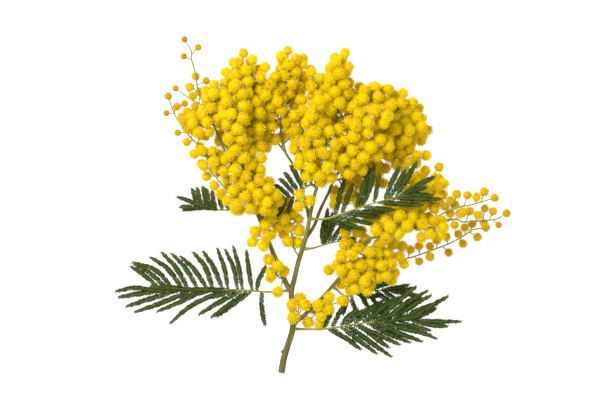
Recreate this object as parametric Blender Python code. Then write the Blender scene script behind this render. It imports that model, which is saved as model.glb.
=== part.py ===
"""A cut mimosa sprig lying on a table: one woody stem, seven feathery fronds and fifty-two sprays of
small round flower heads. Lengths are in millimetres until a mesh is made, which is in metres.
The table is at z = 0 and the stem points from its cut end along +Y."""

import math
import random
from collections import namedtuple

import bmesh
import bpy
import numpy as np
from mathutils import Vector

MM = 0.001
SEED = 7

# Each branch: radius at its foot and at its tip, then the points of its middle line.
BRANCHES = {
    "trunk": (2.4, 0.7, [
        (-23, -121, 3.0), (-21, -110, 3.1), (-18, -100, 3.6), (-15, -90, 4.6), (-15, -80, 5.8),
        (-15.5, -71, 7), (-15.5, -61, 8.5), (-13.5, -53, 10.5), (-11, -42, 13), (-8, -32, 16),
        (-5.5, -24, 18.5), (-3.5, -15, 21), (-2, -6, 24), (0, 3, 26.5), (2, 11, 29), (5, 17, 31),
        (9, 24, 33), (12, 31, 35), (15, 40, 37), (19, 50, 38), (22, 60, 39), (24, 71, 39),
    ]),
    "left": (1.9, 0.6, [
        (-16, -62, 8.5), (-20, -55, 10), (-24, -45, 12), (-28, -36, 14), (-32, -26, 16.5),
        (-36, -16, 19), (-40, -6, 21), (-45, 4, 23), (-50, 14, 24.5), (-55, 23, 26), (-60, 33, 27),
        (-66, 45, 28), (-70, 55, 28), (-75, 66, 27), (-80, 76, 26),
    ]),
    "left_front": (1.3, 0.6, [
        (-35, -19, 18), (-36, -10, 23), (-40, 0, 28), (-43, 9, 32), (-46, 18, 35), (-48, 29, 37.5),
        (-49, 40, 39), (-50, 50, 40), (-51, 61, 40),
    ]),
    "middle_back": (1.2, 0.6, [
        (-3, -9, 23), (-5, 1, 20.5), (-8, 11, 18.5), (-10, 19, 17.5), (-14, 29, 17.5),
        (-19, 37, 18), (-21, 43, 18.5), (-23, 52, 19.5), (-23, 63, 21), (-22, 73, 22),
    ]),
    "right_back": (1.3, 0.6, [
        (-7, -26, 18), (-4, -22, 17), (1, -14, 15.5), (4, -6, 15.5), (7, 1, 16), (11, 9, 16.5),
        (14, 17, 17.5), (19, 25, 18.5), (25, 34, 20), (34, 42, 21.5), (44, 49, 23), (53, 55, 24),
    ]),
    "low_right": (1.6, 0.6, [
        (-15, -89, 4.8), (-12, -84, 6), (-6, -79, 7.5), (-1, -73, 9.5), (6, -67, 11.5),
        (13, -59, 13.5), (18, -53, 15), (23, -47, 17), (28, -40, 19), (32, -32, 21), (36, -27, 23),
        (43, -23, 25), (53, -21, 26.5), (63, -19, 27.5), (73, -16, 28), (84, -12, 28),
        (94, -10, 27.5),
    ]),
}
SCAR = ((-19.5, -107, 3.2), (-22.6, -105.2, 4.2), 1.5)

# Each raceme: what carries it and where, the way of its axis over the table, the height of its tip,
# its number of heads, their diameter at its foot and tip, and whether they stand loosely in two rows.
# The heads of a raceme without a number are in PLACED.
Raceme = namedtuple("Raceme", "carrier foot way tip_z heads foot_size tip_size loose")
RACEMES = {
    "left_01": Raceme("left", (-80, 76), [(-83, 84), (-84.6, 95), (-87.5, 106), (-87.5, 111), (-92.5, 119.7)],
                      26, 0, 7.4, 4.8, True),
    "left_02": Raceme("left", (-75, 66), [(-81, 73), (-88, 76.5), (-94, 81), (-98.9, 84.6)],
                      22, 0, 7.4, 4.8, True),
    "left_03": Raceme("left", (-70, 55), [(-77, 56), (-86, 60), (-91, 67)], 13, 9, 8.0, 6.0, True),
    "left_04": Raceme("left", (-61, 36), [(-71, 39), (-85, 46), (-96, 59), (-101, 68), (-104.9, 79.4)],
                      2, 0, 8.0, 5.8, True),
    "left_05": Raceme("left", (-55, 23), [(-61, 27), (-70, 33), (-84, 38)], 33, 13, 8.2, 7.4, False),
    "left_06": Raceme("left", (-44, 1), [(-53, 6), (-64, 14), (-78, 30)], 28, 9, 8.4, 6.8, True),
    "left_07": Raceme("left_08", (-71, 58), [(-78, 58), (-86, 60)], 40, 7, 8.0, 7.4, False),
    "left_08": Raceme("left", (-68, 52), [(-71, 60), (-70, 71), (-70, 86)], 34, 15, 8.2, 7.4, False),
    "left_09": Raceme("left", (-60, 35), [(-62, 43), (-61, 58), (-62, 84)], 14, 17, 8.2, 7.4, False),
    "left_10": Raceme("left_front", (-46, 18), [(-52, 30), (-56, 48), (-55, 84)], 52, 20, 8.6, 8.0, False),
    "left_11": Raceme("left_front", (-51, 61), [(-52, 76), (-50, 94), (-50, 109)], 36, 16, 8.4, 7.6, False),
    "left_12": Raceme("left_10", (-56, 52), [(-57, 66), (-58, 84), (-58, 102)], 27, 14, 8.2, 7.6, False),
    "left_13": Raceme("left_front", (-50, 50), [(-46, 60), (-42, 74), (-44, 102)], 27, 16, 8.2, 7.6, False),
    "left_14": Raceme("left_front", (-47, 24), [(-46, 34), (-47, 46), (-46, 64)], 28, 14, 8.4, 7.8, False),
    "left_15": Raceme("left_16", (-36, 2), [(-41, 12), (-44, 20), (-44, 29)], 34, 10, 8.4, 8.0, False),
    "left_16": Raceme("left_front", (-38, -4), [(-36, 2), (-36, 8), (-38, 17)], 40, 13, 8.6, 8.0, False),
    "left_17": Raceme("left", (-36, -16), [(-30, -13), (-28, -6), (-30, 4)], 16, 10, 8.4, 7.6, False),
    "left_18": Raceme("left", (-32, -26), [(-36, -24), (-40, -18)], 26, 7, 8.4, 8.2, False),
    "left_19": Raceme("left", (-21, -53), [(-25, -51), (-30, -40)], 20, 5, 8.4, 8.4, False),
    "left_20": Raceme("left_front", (-41, 4), [(-46, 11), (-49, 20), (-51, 32)], 22, 12, 8.4, 8.0, False),
    "left_21": Raceme("left_20", (-43, 7), [(-48, 3), (-56, 8)], 40, 8, 8.6, 8.0, False),
    "left_22": Raceme("left_19", (-22, -54), [(-23, -58), (-26, -62)], 17, 1, 8.4, 8.4, False),
    "mid_01": Raceme("middle_back", (-22, 73), [(-21, 86), (-18, 98), (-18, 111)], 24, 16, 8.2, 7.6, False),
    "mid_02": Raceme("mid_03", (-24, 44), [(-31, 47), (-40, 51)], 18, 6, 8.0, 7.8, False),
    "mid_03": Raceme("middle_back", (-19, 37), [(-25, 45), (-36, 61), (-43, 80)], 10, 12, 8.2, 7.6, False),
    "mid_04": Raceme("middle_back", (-23, 60), [(-27, 68), (-33, 82), (-35, 97)], 36, 16, 8.2, 7.6, False),
    "mid_05": Raceme("middle_back", (-21, 45), [(-17, 50), (-16, 64)], 11, 7, 8.0, 7.6, False),
    "mid_06": Raceme("middle_back", (-23, 67), [(-17, 76), (-10, 90), (-7, 106)], 14, 16, 8.2, 7.4, False),
    "mid_07": Raceme("trunk", (-10, -38), [(-14, -30), (-16, -15), (-19, 2)], 8, 14, 8.0, 8.0, False),
    "mid_08": Raceme("trunk", (-1, -3), [(-5, -2), (-8, 6)], 33, 3, 8.2, 8.2, False),
    "mid_09": Raceme("mid_04", (-26, 66), [(-35, 72), (-41, 89)], 24, 14, 8.2, 7.6, False),
    "front_01": Raceme("trunk", (2, 11), [(1, 20), (-1, 36), (0, 54), (3, 74)], 58, 17, 9.4, 8.2, False),
    "front_02": Raceme("front_01", (1, 22), [(-4, 32), (-7, 50), (-5, 74)], 30, 16, 8.6, 8.0, False),
    "front_03": Raceme("trunk", (15, 40), [(6, 47), (-5, 55), (-18, 66)], 22, 13, 8.2, 7.6, False),
    "front_04": Raceme("trunk", (19, 50), [(12, 61), (6, 76), (1, 94)], 26, 18, 8.4, 7.6, False),
    "front_05": Raceme("trunk", (22, 60), [(18, 72), (17, 88), (22, 109)], 50, 17, 8.6, 7.8, False),
    "front_06": Raceme("trunk", (24, 71), [(22, 80), (19, 92), (15, 105)], 30, 14, 8.4, 7.6, False),
    "front_07": Raceme("trunk", (22, 63), [(31, 68), (39, 76), (53, 84)], 44, 17, 8.6, 7.6, False),
    "front_08": Raceme("trunk", (17, 46), [(26, 52), (38, 60), (55, 70)], 60, 18, 9.0, 8.4, False),
    "front_09": Raceme("trunk", (12, 31), [(21, 36), (33, 40), (52, 42)], 50, 16, 8.8, 8.2, False),
    "front_10": Raceme("right_back", (14, 17), [(22, 20), (34, 21), (50, 18)], 10, 14, 8.6, 8.0, False),
    "front_11": Raceme("front_03", (12, 43), [(13, 54), (9, 72), (12, 98)], 16, 20, 8.2, 7.8, False),
    "front_12": Raceme("front_07", (27, 66), [(30, 72), (34, 85)], 14, 15, 8.4, 7.8, False),
    "front_13": Raceme("front_09", (17, 34), [(23, 31), (34, 34)], 38, 10, 8.8, 8.2, False),
    "front_14": Raceme("front_01", (1, 19), [(5, 27), (9, 38), (12, 53)], 54, 10, 8.8, 8.4, False),
    "front_15": Raceme("front_10", (19, 19), [(21, 11), (15, 1)], 14, 5, 8.4, 8.0, False),
    "front_16": Raceme("front_10", (27, 21), [(31, 13), (31, 4)], 16, 4, 8.4, 8.0, False),
    "right_01": Raceme("right_back", (53, 55), [(57, 63), (61, 71), (65, 80)], 36, 15, 8.4, 7.4, False),
    "right_02": Raceme("right_01", (57, 61), [(65, 63), (77, 63)], 22, 12, 8.4, 7.2, False),
    "right_03": Raceme("right_back", (40, 45), [(52, 43), (66, 46), (82, 54)], 16, 16, 8.4, 7.4, False),
    "right_04": Raceme("right_back", (30, 38), [(42, 35), (60, 34), (81, 36)], 26, 16, 8.4, 7.6, False),
    "right_05": Raceme("right_back", (45, 50), [(51, 58), (55, 70), (54, 83)], 3, 15, 8.4, 7.8, False),
    "right_06": Raceme("right_back", (45, 50), [(56, 51), (77, 58)], 42, 14, 8.6, 8.0, False),
    "right_07": Raceme("low_right", (53, -21), [(61, -11), (70, -1), (79, 12), (91, 28)],
                       18, 20, 8.2, 7.2, False),
    "right_08": Raceme("right_07", (62, -10), [(73, -4), (83, 3), (91, 16)], 24, 16, 8.4, 8.0, False),
    "right_09": Raceme("low_right", (94, -10), [(103.7, -9.7), (108.7, -11.5), (131, -9.7), (139.3, -5.4)],
                       22, 0, 8.2, 6.0, True),
    "right_10": Raceme("low_right", (84, -12), [
        (91.4, -6.5), (102, -1.4), (113, 0.7), (121, 2.9), (130.3, 5.8),
    ], 34, 0, 8.2, 6.2, True),
    "right_11": Raceme("low_right", (24, -45), [
        (37, -45), (51, -42), (72, -37), (92, -30), (98.6, -27.4), (109, -22), (115.9, -17.3), (125.3, -15.8),
    ], 3, 0, 8.6, 6.4, True),
    "right_12": Raceme("low_right", (73, -16), [(80, -17), (93, -16)], 40, 7, 8.4, 8.0, False),
    "right_13": Raceme("right_07", (75, 7), [(72, 14), (70, 24)], 26, 6, 8.6, 8.2, False),
    "low_01": Raceme("low_right", (19, -52), [(22, -47), (22, -38)], 22, 8, 8.6, 8.4, False),
    "low_02": Raceme("low_right", (28, -40), [(26, -36), (25, -29)], 26, 5, 8.4, 8.4, False),
    "low_03": Raceme("low_right", (32, -32), [(31, -26), (28, -17)], 14, 7, 8.4, 8.0, False),
    "low_04": Raceme("low_right", (21, -50), [(26, -53), (28, -61)], 8, 6, 8.4, 8.2, False),
    "low_05": Raceme("low_right", (26, -42), [(32, -47), (37, -59)], 26, 10, 8.6, 8.2, False),
    "low_06": Raceme("low_right", (32, -32), [(42, -39), (57, -52)], 22, 14, 8.6, 8.0, False),
    "low_07": Raceme("low_06", (38, -37), [(48, -33), (64, -30)], 12, 10, 8.4, 8.0, False),
    "low_08": Raceme("low_right", (43, -23), [(51, -17), (60, -13), (72, -11)], 40, 13, 8.8, 8.2, False),
    "low_09": Raceme("low_08", (47, -20), [(46, -13), (52, -8), (63, -4)], 14, 12, 8.4, 8.0, False),
    "low_10": Raceme("low_right", (-9, -81), [(-11, -77), (-16, -73)], 13, 4, 8.6, 8.8, False),
    "low_11": Raceme("low_12", (0, -76), [(2, -79), (5, -83)], 3, 4, 8.4, 8.8, False),
    "low_12": Raceme("low_right", (-3, -76), [(6, -74), (20, -69)], 16, 6, 8.0, 8.2, False),
}

# Racemes whose heads stand apart: from the tip, the place of each head over the table and its diameter.
PLACED = {
    "left_01": [
        (-92.5, 119.7, 4.8), (-82.6, 114.1, 5.2), (-92.9, 107.5, 4.8), (-84.2, 92.2, 6.2),
        (-76.8, 89.8, 5.8), (-88.2, 84.2, 6.8),
    ],
    "left_02": [
        (-98.9, 84.6, 4.8), (-87.8, 68.8, 6.6), (-84.6, 72.4, 6.4), (-82.1, 81.4, 6.6),
        (-86.4, 78.8, 6.4),
    ],
    "left_04": [
        (-104.9, 79.4, 5.8), (-106.2, 67.2, 4.8), (-97.9, 72.0, 6.0), (-94.7, 73.4, 5.2),
        (-95.0, 61.9, 6.6), (-97.9, 52.8, 5.2), (-91.1, 46.1, 6.4), (-92.9, 56.5, 6.6),
        (-90.7, 61.9, 6.8), (-85.7, 54.0, 6.6), (-81.4, 51.1, 6.8), (-82.1, 43.9, 7.0),
    ],
    "right_09": [
        (139.3, -5.4, 6.0), (133.6, -13.7, 5.0), (123.8, -10.8, 6.2), (128.5, -3.6, 6.2),
        (124.6, -2.5, 6.2), (118.8, -7.2, 6.6), (112.3, -4.3, 6.6), (101.9, -13.7, 6.2),
        (106.6, -5.8, 6.8), (98.6, -5.8, 6.8), (92.2, -14.4, 7.0),
    ],
    "right_10": [
        (130.3, 5.8, 6.2), (122.4, 9.7, 6.8), (117.7, 4.3, 6.8), (110.9, 7.6, 6.2),
        (102.6, 7.6, 6.6), (99.4, 3.6, 6.4), (106.6, -1.4, 6.8), (101.5, -0.7, 6.8),
        (97.2, -2.9, 6.8), (90.7, -6.5, 7.6), (87.8, -2.2, 7.0),
    ],
    "right_11": [
        (125.3, -15.8, 6.4), (119.2, -22.7, 6.4), (115.2, -13.3, 5.9), (110.2, -15.8, 6.4),
        (107.3, -22.3, 6.2), (108.4, -26.5, 6.4), (98.3, -33.8, 6.2), (96.5, -22.3, 6.6),
        (89.6, -25.2, 6.4), (85.7, -30.6, 6.2), (84.6, -35.3, 6.8), (77.0, -40.3, 6.0),
        (76.8, -29.2, 6.6), (70.6, -31.7, 6.6), (63.0, -39.6, 7.6), (54.7, -37.4, 7.6),
        (46.8, -41.0, 7.8),
    ],
}

# Each frond: what carries it, the points of its rachis, and for each pinna the place of its root, of
# its middle and of its tip over the table.
Frond = namedtuple("Frond", "carrier rachis pinnae")
FRONDS = {
    "frond_low_left": Frond("trunk", [
        (-16, -61, 8.5), (-31, -62.3, 10), (-45.4, -61.4, 10.2), (-63.4, -60.7, 10),
        (-81.4, -61.4, 9.2), (-99.4, -61.9, 7.8), (-117.4, -60.9, 6.4),
    ], [
        ((-40, -60.5), (-39.6, -55), (-34.2, -43.9)), ((-44.6, -60.5), (-46.5, -45.4), (-48.2, -32.4)),
        ((-49.7, -59.8), (-53.3, -45.4), (-57.6, -29.5)),
        ((-55.1, -59), (-57.1, -45.7), (-63.4, -31.7)), ((-60.5, -58.3), (-63.7, -46.2), (-69.1, -31)),
        ((-66.2, -58.3), (-71.9, -44.3), (-79.2, -33.1)),
        ((-71.3, -58.3), (-77.8, -44.4), (-86.4, -33.8)),
        ((-76.3, -57.6), (-86.1, -45.7), (-95.8, -36.7)),
        ((-82.1, -58.3), (-91.8, -45.6), (-102.2, -34.6)),
        ((-88.6, -58.3), (-98.3, -45.7), (-109.4, -33.8)),
        ((-93.6, -58.3), (-105.1, -45.5), (-117.4, -37.4)),
        ((-98.6, -59), (-113.2, -46.9), (-130.3, -41)),
        ((-104.4, -59), (-117.7, -48.7), (-128.9, -42.5)),
        ((-110.2, -59), (-120.4, -51.3), (-131.8, -43.9)),
        ((-114.5, -60.5), (-128.8, -59.3), (-142.6, -61.9)),
        ((-111.6, -61.9), (-126, -63.6), (-140.4, -66.2)),
        ((-101.5, -62.6), (-117.3, -67.1), (-134.6, -72.7)),
        ((-90.7, -62.6), (-110.2, -70.4), (-128.9, -77)),
        ((-79.2, -62.6), (-95.8, -69.5), (-112.3, -76.3)),
        ((-65.5, -61.9), (-88.5, -72.6), (-103, -85)), ((-50.4, -61.2), (-66, -68.8), (-82.1, -78.5)),
        ((-46.1, -61.9), (-58.9, -70.3), (-73.4, -80.6)),
        ((-44.6, -61.9), (-54.6, -68.9), (-69.1, -79.9)),
        ((-38.2, -62.6), (-36.9, -74.1), (-34.6, -86.4)),
        ((-55.4, -61.9), (-66.9, -64.2), (-79.2, -67)), ((-62.6, -61.2), (-79.2, -60.6), (-95, -60.5)),
        ((-72.7, -61.2), (-88.6, -64.5), (-103, -66.2)),
        ((-84.2, -61.2), (-101.5, -59.3), (-117.4, -58.3)),
        ((-95.8, -61.9), (-110.1, -61.5), (-124.6, -59.8)),
    ]),
    "frond_low_right": Frond("trunk", [
        (-14, -89, 4.8), (-0.7, -89.3, 8), (10.8, -88.7, 11.5), (23, -86.8, 13.8), (35.3, -84.7, 15),
        (51.1, -83.7, 16), (66.2, -82.8, 15), (77, -82.8, 14),
    ], [
        ((8.6, -88.6), (11.1, -81.5), (14.4, -74.9)), ((14.4, -87.8), (18.6, -78.1), (25.9, -67.7)),
        ((19.4, -87.1), (24.9, -80.4), (32.4, -74.9)), ((23.8, -86.4), (32.8, -78.4), (46.8, -70.6)),
        ((28.8, -85.7), (39.8, -76.5), (51.8, -67.7)), ((34.6, -85), (45.7, -75.4), (58.3, -67.7)),
        ((40.3, -84.2), (52, -74.4), (64.8, -64.8)), ((46.1, -83.5), (58.5, -71.5), (74.2, -58.3)),
        ((51.8, -83.5), (65.4, -71.4), (82.8, -61.2)), ((56.9, -83.5), (70.3, -72.7), (85, -64.8)),
        ((67, -82.8), (80.7, -74.9), (97.2, -65.5)), ((70.6, -82.8), (79.1, -79), (88.6, -74.2)),
        ((74.2, -82.8), (91.4, -83.4), (106.6, -83.5)), ((70.6, -82.8), (84.3, -85.9), (97.2, -87.1)),
        ((59.8, -82.8), (72, -86.4), (85, -90)), ((51.1, -83.5), (70.4, -88.9), (89.3, -95.8)),
        ((44.6, -83.5), (62.1, -91.8), (78.5, -97.9)), ((38.2, -84.2), (53.4, -91.9), (69.8, -98.6)),
        ((31.7, -85), (44.7, -95), (54.7, -102.2)), ((25.9, -86.4), (41.2, -98.4), (56.2, -108.7)),
        ((20.9, -87.1), (34, -97.7), (46.1, -106.6)), ((15.1, -87.8), (23.9, -95.6), (34.6, -103.7)),
        ((12.2, -88.6), (21.8, -94.7), (30.2, -98.6)), ((52.6, -83.5), (65.5, -81.3), (80.6, -78.5)),
        ((42.5, -84.2), (56.9, -78.6), (73.4, -72.7)), ((23.8, -86.4), (37.4, -95.2), (51.8, -105.1)),
        ((30.2, -85.7), (46.8, -92.9), (62.6, -100.1)), ((41.8, -84.2), (57.7, -90.5), (74.2, -95.8)),
        ((48.2, -83.5), (65.6, -88.4), (84.2, -92.9)), ((37.4, -84.2), (48.6, -74.6), (61.2, -66.2)),
        ((49.7, -83.5), (62.8, -74.4), (77.8, -65.5)), ((60.5, -82.8), (73.5, -76.4), (86.4, -70.6)),
    ]),
    "frond_behind": Frond("low_right", [
        (14, -58, 13.5), (23, -65, 7.5), (28.8, -64.4, 5.4), (36.7, -61.8, 4.6), (48.2, -61.2, 4),
        (56.9, -61.9, 3.4),
    ], [
        ((33.8, -61.9), (41.1, -58.4), (51.1, -54)), ((41, -61.2), (49.8, -57.3), (59.8, -54.7)),
        ((48.2, -61.2), (58.3, -59.7), (69.1, -57.6)), ((54, -61.2), (64, -61.4), (74.2, -59.8)),
        ((56.2, -61.9), (66.9, -63.5), (77.8, -65.5)), ((51.1, -61.2), (56.9, -65.6), (64.1, -71.3)),
        ((44.6, -61.2), (50.6, -66), (59, -71.3)), ((37.4, -61.9), (42.3, -66.4), (46.8, -72)),
        ((31, -63.4), (38.9, -65.5), (49, -64.8)), ((27.4, -64.8), (29.9, -73.3), (34.6, -82.1)),
        ((25.2, -64.8), (23.6, -72), (21.6, -78.5)), ((33.8, -61.9), (36.8, -67.7), (39.6, -72.7)),
    ]),
    "frond_left": Frond("left", [
        (-43, -1, 22.5), (-50.4, -3.4, 22), (-60.5, -3.2, 20), (-72.7, -2.9, 17), (-82.8, -2.5, 14.5),
        (-88.6, -2.2, 12.5),
    ], [
        ((-60.5, -2.9), (-62.6, 1.5), (-64.8, 6.5)), ((-64.8, -2.9), (-66.7, 2.9), (-67.7, 10.1)),
        ((-69.1, -2.9), (-71.6, 3.7), (-72.7, 10.8)), ((-72.7, -2.9), (-75.4, 5.1), (-77, 12.2)),
        ((-75.6, -2.2), (-77.6, 5.8), (-79.2, 13.7)), ((-78.5, -2.2), (-81.7, 5.2), (-83.5, 13)),
        ((-81.4, -2.2), (-84.7, 5.1), (-87.1, 12.2)), ((-73.4, -2.2), (-85.7, 2.2), (-97.9, 6.5)),
        ((-79.9, -2.2), (-88.6, -0.9), (-95.8, -0.7)), ((-84.2, -2.2), (-89.3, -2.3), (-93.6, -2.9)),
        ((-67.7, -2.9), (-77.8, -0.1), (-87.1, 2.2)),
    ]),
    "frond_middle": Frond("trunk", [
        (3, 13, 29.5), (-1.4, 15.1, 28), (-7.9, 11.5, 25.5), (-13.7, 7.2, 22), (-19.4, 2.9, 18),
    ], [
        ((-1.4, 15.1), (-2.1, 23), (-2.9, 31.7)), ((-4.3, 13.7), (-7, 22.4), (-8.6, 30.2)),
        ((-7.2, 12.2), (-11.7, 21.5), (-15.8, 28.8)), ((-10.1, 10.1), (-15.9, 18), (-20.2, 23.8)),
        ((-13, 7.9), (-18.9, 14.9), (-23.8, 19.4)), ((-15.8, 5.8), (-21.8, 11.3), (-27.4, 15.1)),
        ((-18.7, 3.6), (-23.6, 7.3), (-28.8, 12.2)), ((-6.5, 12.2), (-10.4, 4.9), (-12.2, -1.4)),
        ((-13.7, 6.5), (-15.8, 1.4), (-18, -4.3)), ((-18.7, 3.6), (-22.7, -1.6), (-25.9, -7.9)),
    ]),
    "frond_front": Frond("trunk", [
        (-3, -9, 23), (5, -9.6, 28), (11.5, -8.8, 32), (23, -5, 36.5), (33.8, -1.1, 39.5),
        (44.6, 2.2, 41.5), (55.4, 5, 42.5), (64.1, 7.7, 42.8), (69.8, 9.2, 42.5),
    ], [
        ((15.1, -7.9), (18.9, 6.4), (23, 19.4)), ((20.2, -6.5), (24.6, 5.7), (28.8, 15.8)),
        ((29.5, -2.9), (35.2, 10.8), (41, 26.6)), ((36.7, 0), (40.7, 13.1), (43.9, 29.5)),
        ((42.5, 1.4), (45.8, 12.3), (47.5, 22.3)), ((50.4, 3.6), (55.5, 15.1), (61.9, 28.1)),
        ((54, 4.3), (60.4, 15.2), (66.2, 25.9)), ((59.8, 6.5), (65.8, 17.8), (74.2, 31)),
        ((64.8, 7.9), (75.1, 14.8), (87.1, 20.9)), ((61.9, 7.2), (70.7, 11), (81.4, 13)),
        ((67.7, 8.6), (77, 7.9), (85, 7.2)), ((56.9, 5), (73.4, 5), (91.4, 5)),
        ((45.4, 2.2), (61.9, 1.4), (78.5, 0.7)), ((35.3, -0.7), (47.5, -2.1), (58.3, -2.9)),
        ((26.6, -3.6), (38.2, -4.3), (51.1, -5)), ((21.6, -5.8), (34.5, -6.6), (47.5, -7.9)),
        ((16.6, -7.9), (30.2, -10.3), (43.9, -13.7)), ((13, -8.6), (25.2, -13), (36.7, -17.3)),
        ((11.5, -9.4), (19.4, -13.1), (27.4, -17.3)), ((32.4, -1.4), (38, 9.5), (43.2, 21.6)),
    ]),
    "frond_hidden": Frond("trunk", [
        (-7.9, -31, 16.5), (-0.7, -30.6, 15), (7.2, -28.4, 13), (15.1, -26.3, 11.5), (23, -25.2, 10),
    ], [
        ((6.5, -28.8), (6.7, -19.5), (7.9, -10.8)), ((8.6, -28.1), (9, -15.2), (10.8, -2.2)),
        ((10.8, -27.4), (12.6, -19.5), (15.8, -11.5)), ((13.7, -26.6), (17.5, -19.6), (21.6, -13.7)),
        ((17.3, -25.9), (21.7, -21.7), (26.6, -17.3)), ((20.2, -25.2), (25.2, -24.4), (31, -23)),
        ((7.9, -28.1), (11, -15.9), (14.4, -5)),
    ]),
}

AXIS_RADIUS = 0.6
RACHIS_RADIUS = (0.95, 0.65)
GAP = 0.4
SAMPLE_STEP = 0.1
RACHIS_POINTS = 30
PINNA_POINTS = 7
PINNA_HALF_WIDTH = 1.9
PINNA_ARCH = (0.6, 2.4)
PINNA_DROOP = (0.0, 1.6)
PINNA_FLOOR = 1.6
AXIS_POINTS = 24
AXIS_SPACE = 0.7
AXIS_FLOOR = AXIS_RADIUS + 0.4
PART_ROUNDS = 30
LIFT_SPREAD = (0.3, 0.6, 0.9, 1, 0.9, 0.6, 0.3)
FIXED_FOOT = 4
BARE_STALK = 4.5
HEAD_TURN = 137.5
HEAD_LEAN = (48, 66)
TIP_LEAN = 8
STALK_LENGTH = (2.0, 3.4)
STALK_SLANT = 0.5
STALK_STRETCH = 3.5
PLACED_RISE = 1.5
FACE_DEPTH = 0.7947
SETTLE_ROUNDS = 60


def smooth_path(points, count):
    """count points, evenly spaced by length, on a smooth curve through the given ones."""
    given = np.array(points, float)
    given = np.vstack([2 * given[0] - given[1], given, 2 * given[-1] - given[-2]])
    fine = []
    for i in range(1, len(given) - 2):
        a, b, c, d = given[i - 1:i + 3]
        for t in np.linspace(0, 1, 12, endpoint=False):
            fine.append(0.5 * (2 * b + (c - a) * t + (2 * a - 5 * b + 4 * c - d) * t ** 2
                               + (3 * b - a - 3 * c + d) * t ** 3))
    fine.append(given[-2])
    return stretch_of(np.array(fine), 0.0, 0.0, count)


def path_length(path):
    return float(np.linalg.norm(np.diff(path, axis=0), axis=1).sum())


def stretch_of(path, cut_start, cut_end, count):
    """count points, evenly spaced, on a path without so much of its length at its start and end."""
    lengths = np.concatenate([[0], np.cumsum(np.linalg.norm(np.diff(path, axis=0), axis=1))])
    even = np.linspace(cut_start, lengths[-1] - cut_end, count)
    return np.stack([np.interp(even, lengths, path[:, k]) for k in range(3)], 1)


def directions(path):
    """The direction of a path at each of its points."""
    ahead = np.gradient(path, axis=0)
    return ahead / np.linalg.norm(ahead, axis=1)[:, None]


def lay_branches():
    """For each branch its path and the radius at each point of it."""
    laid = {}
    for name, (foot, tip, points) in BRANCHES.items():
        path = smooth_path(points, 4 * len(points))
        laid[name] = path, np.linspace(foot, tip, len(path))
    return laid


def clear_start(path, own_radius, branches):
    """The path from where it comes clear of every branch, by a small gap at its nearest edge."""
    whole = path_length(path)
    count = int(whole / SAMPLE_STEP)
    fine = stretch_of(path, 0.0, 0.0, count)
    ahead = directions(fine)
    blocked = np.zeros(count, bool)
    for line, radii in branches.values():
        along = directions(line)
        distance = np.linalg.norm(fine[:, None] - line[None], axis=2)
        near = distance.argmin(1)
        cosine = np.abs((ahead * along[near]).sum(1))
        sine = np.sqrt(1 - np.minimum(cosine, 1) ** 2)
        past_tip = (fine - line[-1]) @ along[-1] > GAP + own_radius * sine
        blocked |= (distance.min(1) < radii[near] + GAP + own_radius * cosine) & ~past_tip
    return stretch_of(path, whole * int(np.argmin(blocked)) / (count - 1), 0.0, len(path))


def lay_pinnae(frond, rachis, draw):
    """The path of each pinna, which arches up from the rachis and droops at its tip, and half its width."""
    pinnae = []
    for root, middle, tip in frond.pinnae:
        foot = rachis[int(np.argmin(np.linalg.norm(rachis[:, :2] - np.array(root), axis=1)))]
        top = max(foot[2] + draw.uniform(*PINNA_ARCH), PINNA_FLOOR)
        end = max(foot[2] - draw.uniform(*PINNA_DROOP), PINNA_FLOOR)
        path = smooth_path([foot, (*middle, top), (*tip, end)], PINNA_POINTS)
        pinnae.append((path, PINNA_HALF_WIDTH * draw.uniform(0.85, 1.0)))
    return pinnae


def lay_fronds(branches):
    """For each frond the path of its rachis, clear of its carrier, and those of its pinnae."""
    draw = random.Random(SEED)
    laid = {}
    for name, frond in FRONDS.items():
        rachis = smooth_path(frond.rachis, RACHIS_POINTS)
        pinnae = lay_pinnae(frond, rachis, draw)
        line = branches[frond.carrier][0]
        rachis[0] = line[int(np.argmin(np.linalg.norm(line - rachis[0], axis=1)))]
        laid[name] = clear_start(rachis, RACHIS_RADIUS[0], branches), pinnae
    return laid


def raceme_axis(raceme, start):
    """The path of an axis from a point of its carrier. It ends just before the raceme's last head."""
    flat = [tuple(start[:2])] + raceme.way
    steps = [math.dist(a, b) for a, b in zip(flat, flat[1:])]
    points = [tuple(start)]
    for k, (x, y) in enumerate(raceme.way):
        share = sum(steps[:k + 1]) / sum(steps)
        points.append((x, y, start[2] + (raceme.tip_z - start[2]) * share * (2 - share)))
    path = smooth_path(points, 2 * AXIS_POINTS)
    return stretch_of(path, 0.0, raceme.tip_size / 2 + STALK_LENGTH[0], AXIS_POINTS)


def lay_axes(branches):
    """For each raceme the path of its axis from its carrier's middle line, and the carrier's radius."""
    axes = {}
    radii = {}
    waiting = dict(RACEMES)
    while waiting:
        for name, raceme in list(waiting.items()):
            if raceme.carrier in waiting:
                continue
            del waiting[name]
            if raceme.carrier in branches:
                line, around = branches[raceme.carrier]
            else:
                line = axes[raceme.carrier]
                around = np.full(len(line), AXIS_RADIUS)
            at = int(np.argmin(np.linalg.norm(line[:, :2] - np.array(raceme.foot), axis=1)))
            axes[name] = raceme_axis(raceme, line[at])
            radii[name] = float(around[at])
    return axes, radii


def group_of(name):
    """The raceme that starts on a branch and bears the named one."""
    while RACEMES[name].carrier in RACEMES:
        name = RACEMES[name].carrier
    return name


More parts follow.
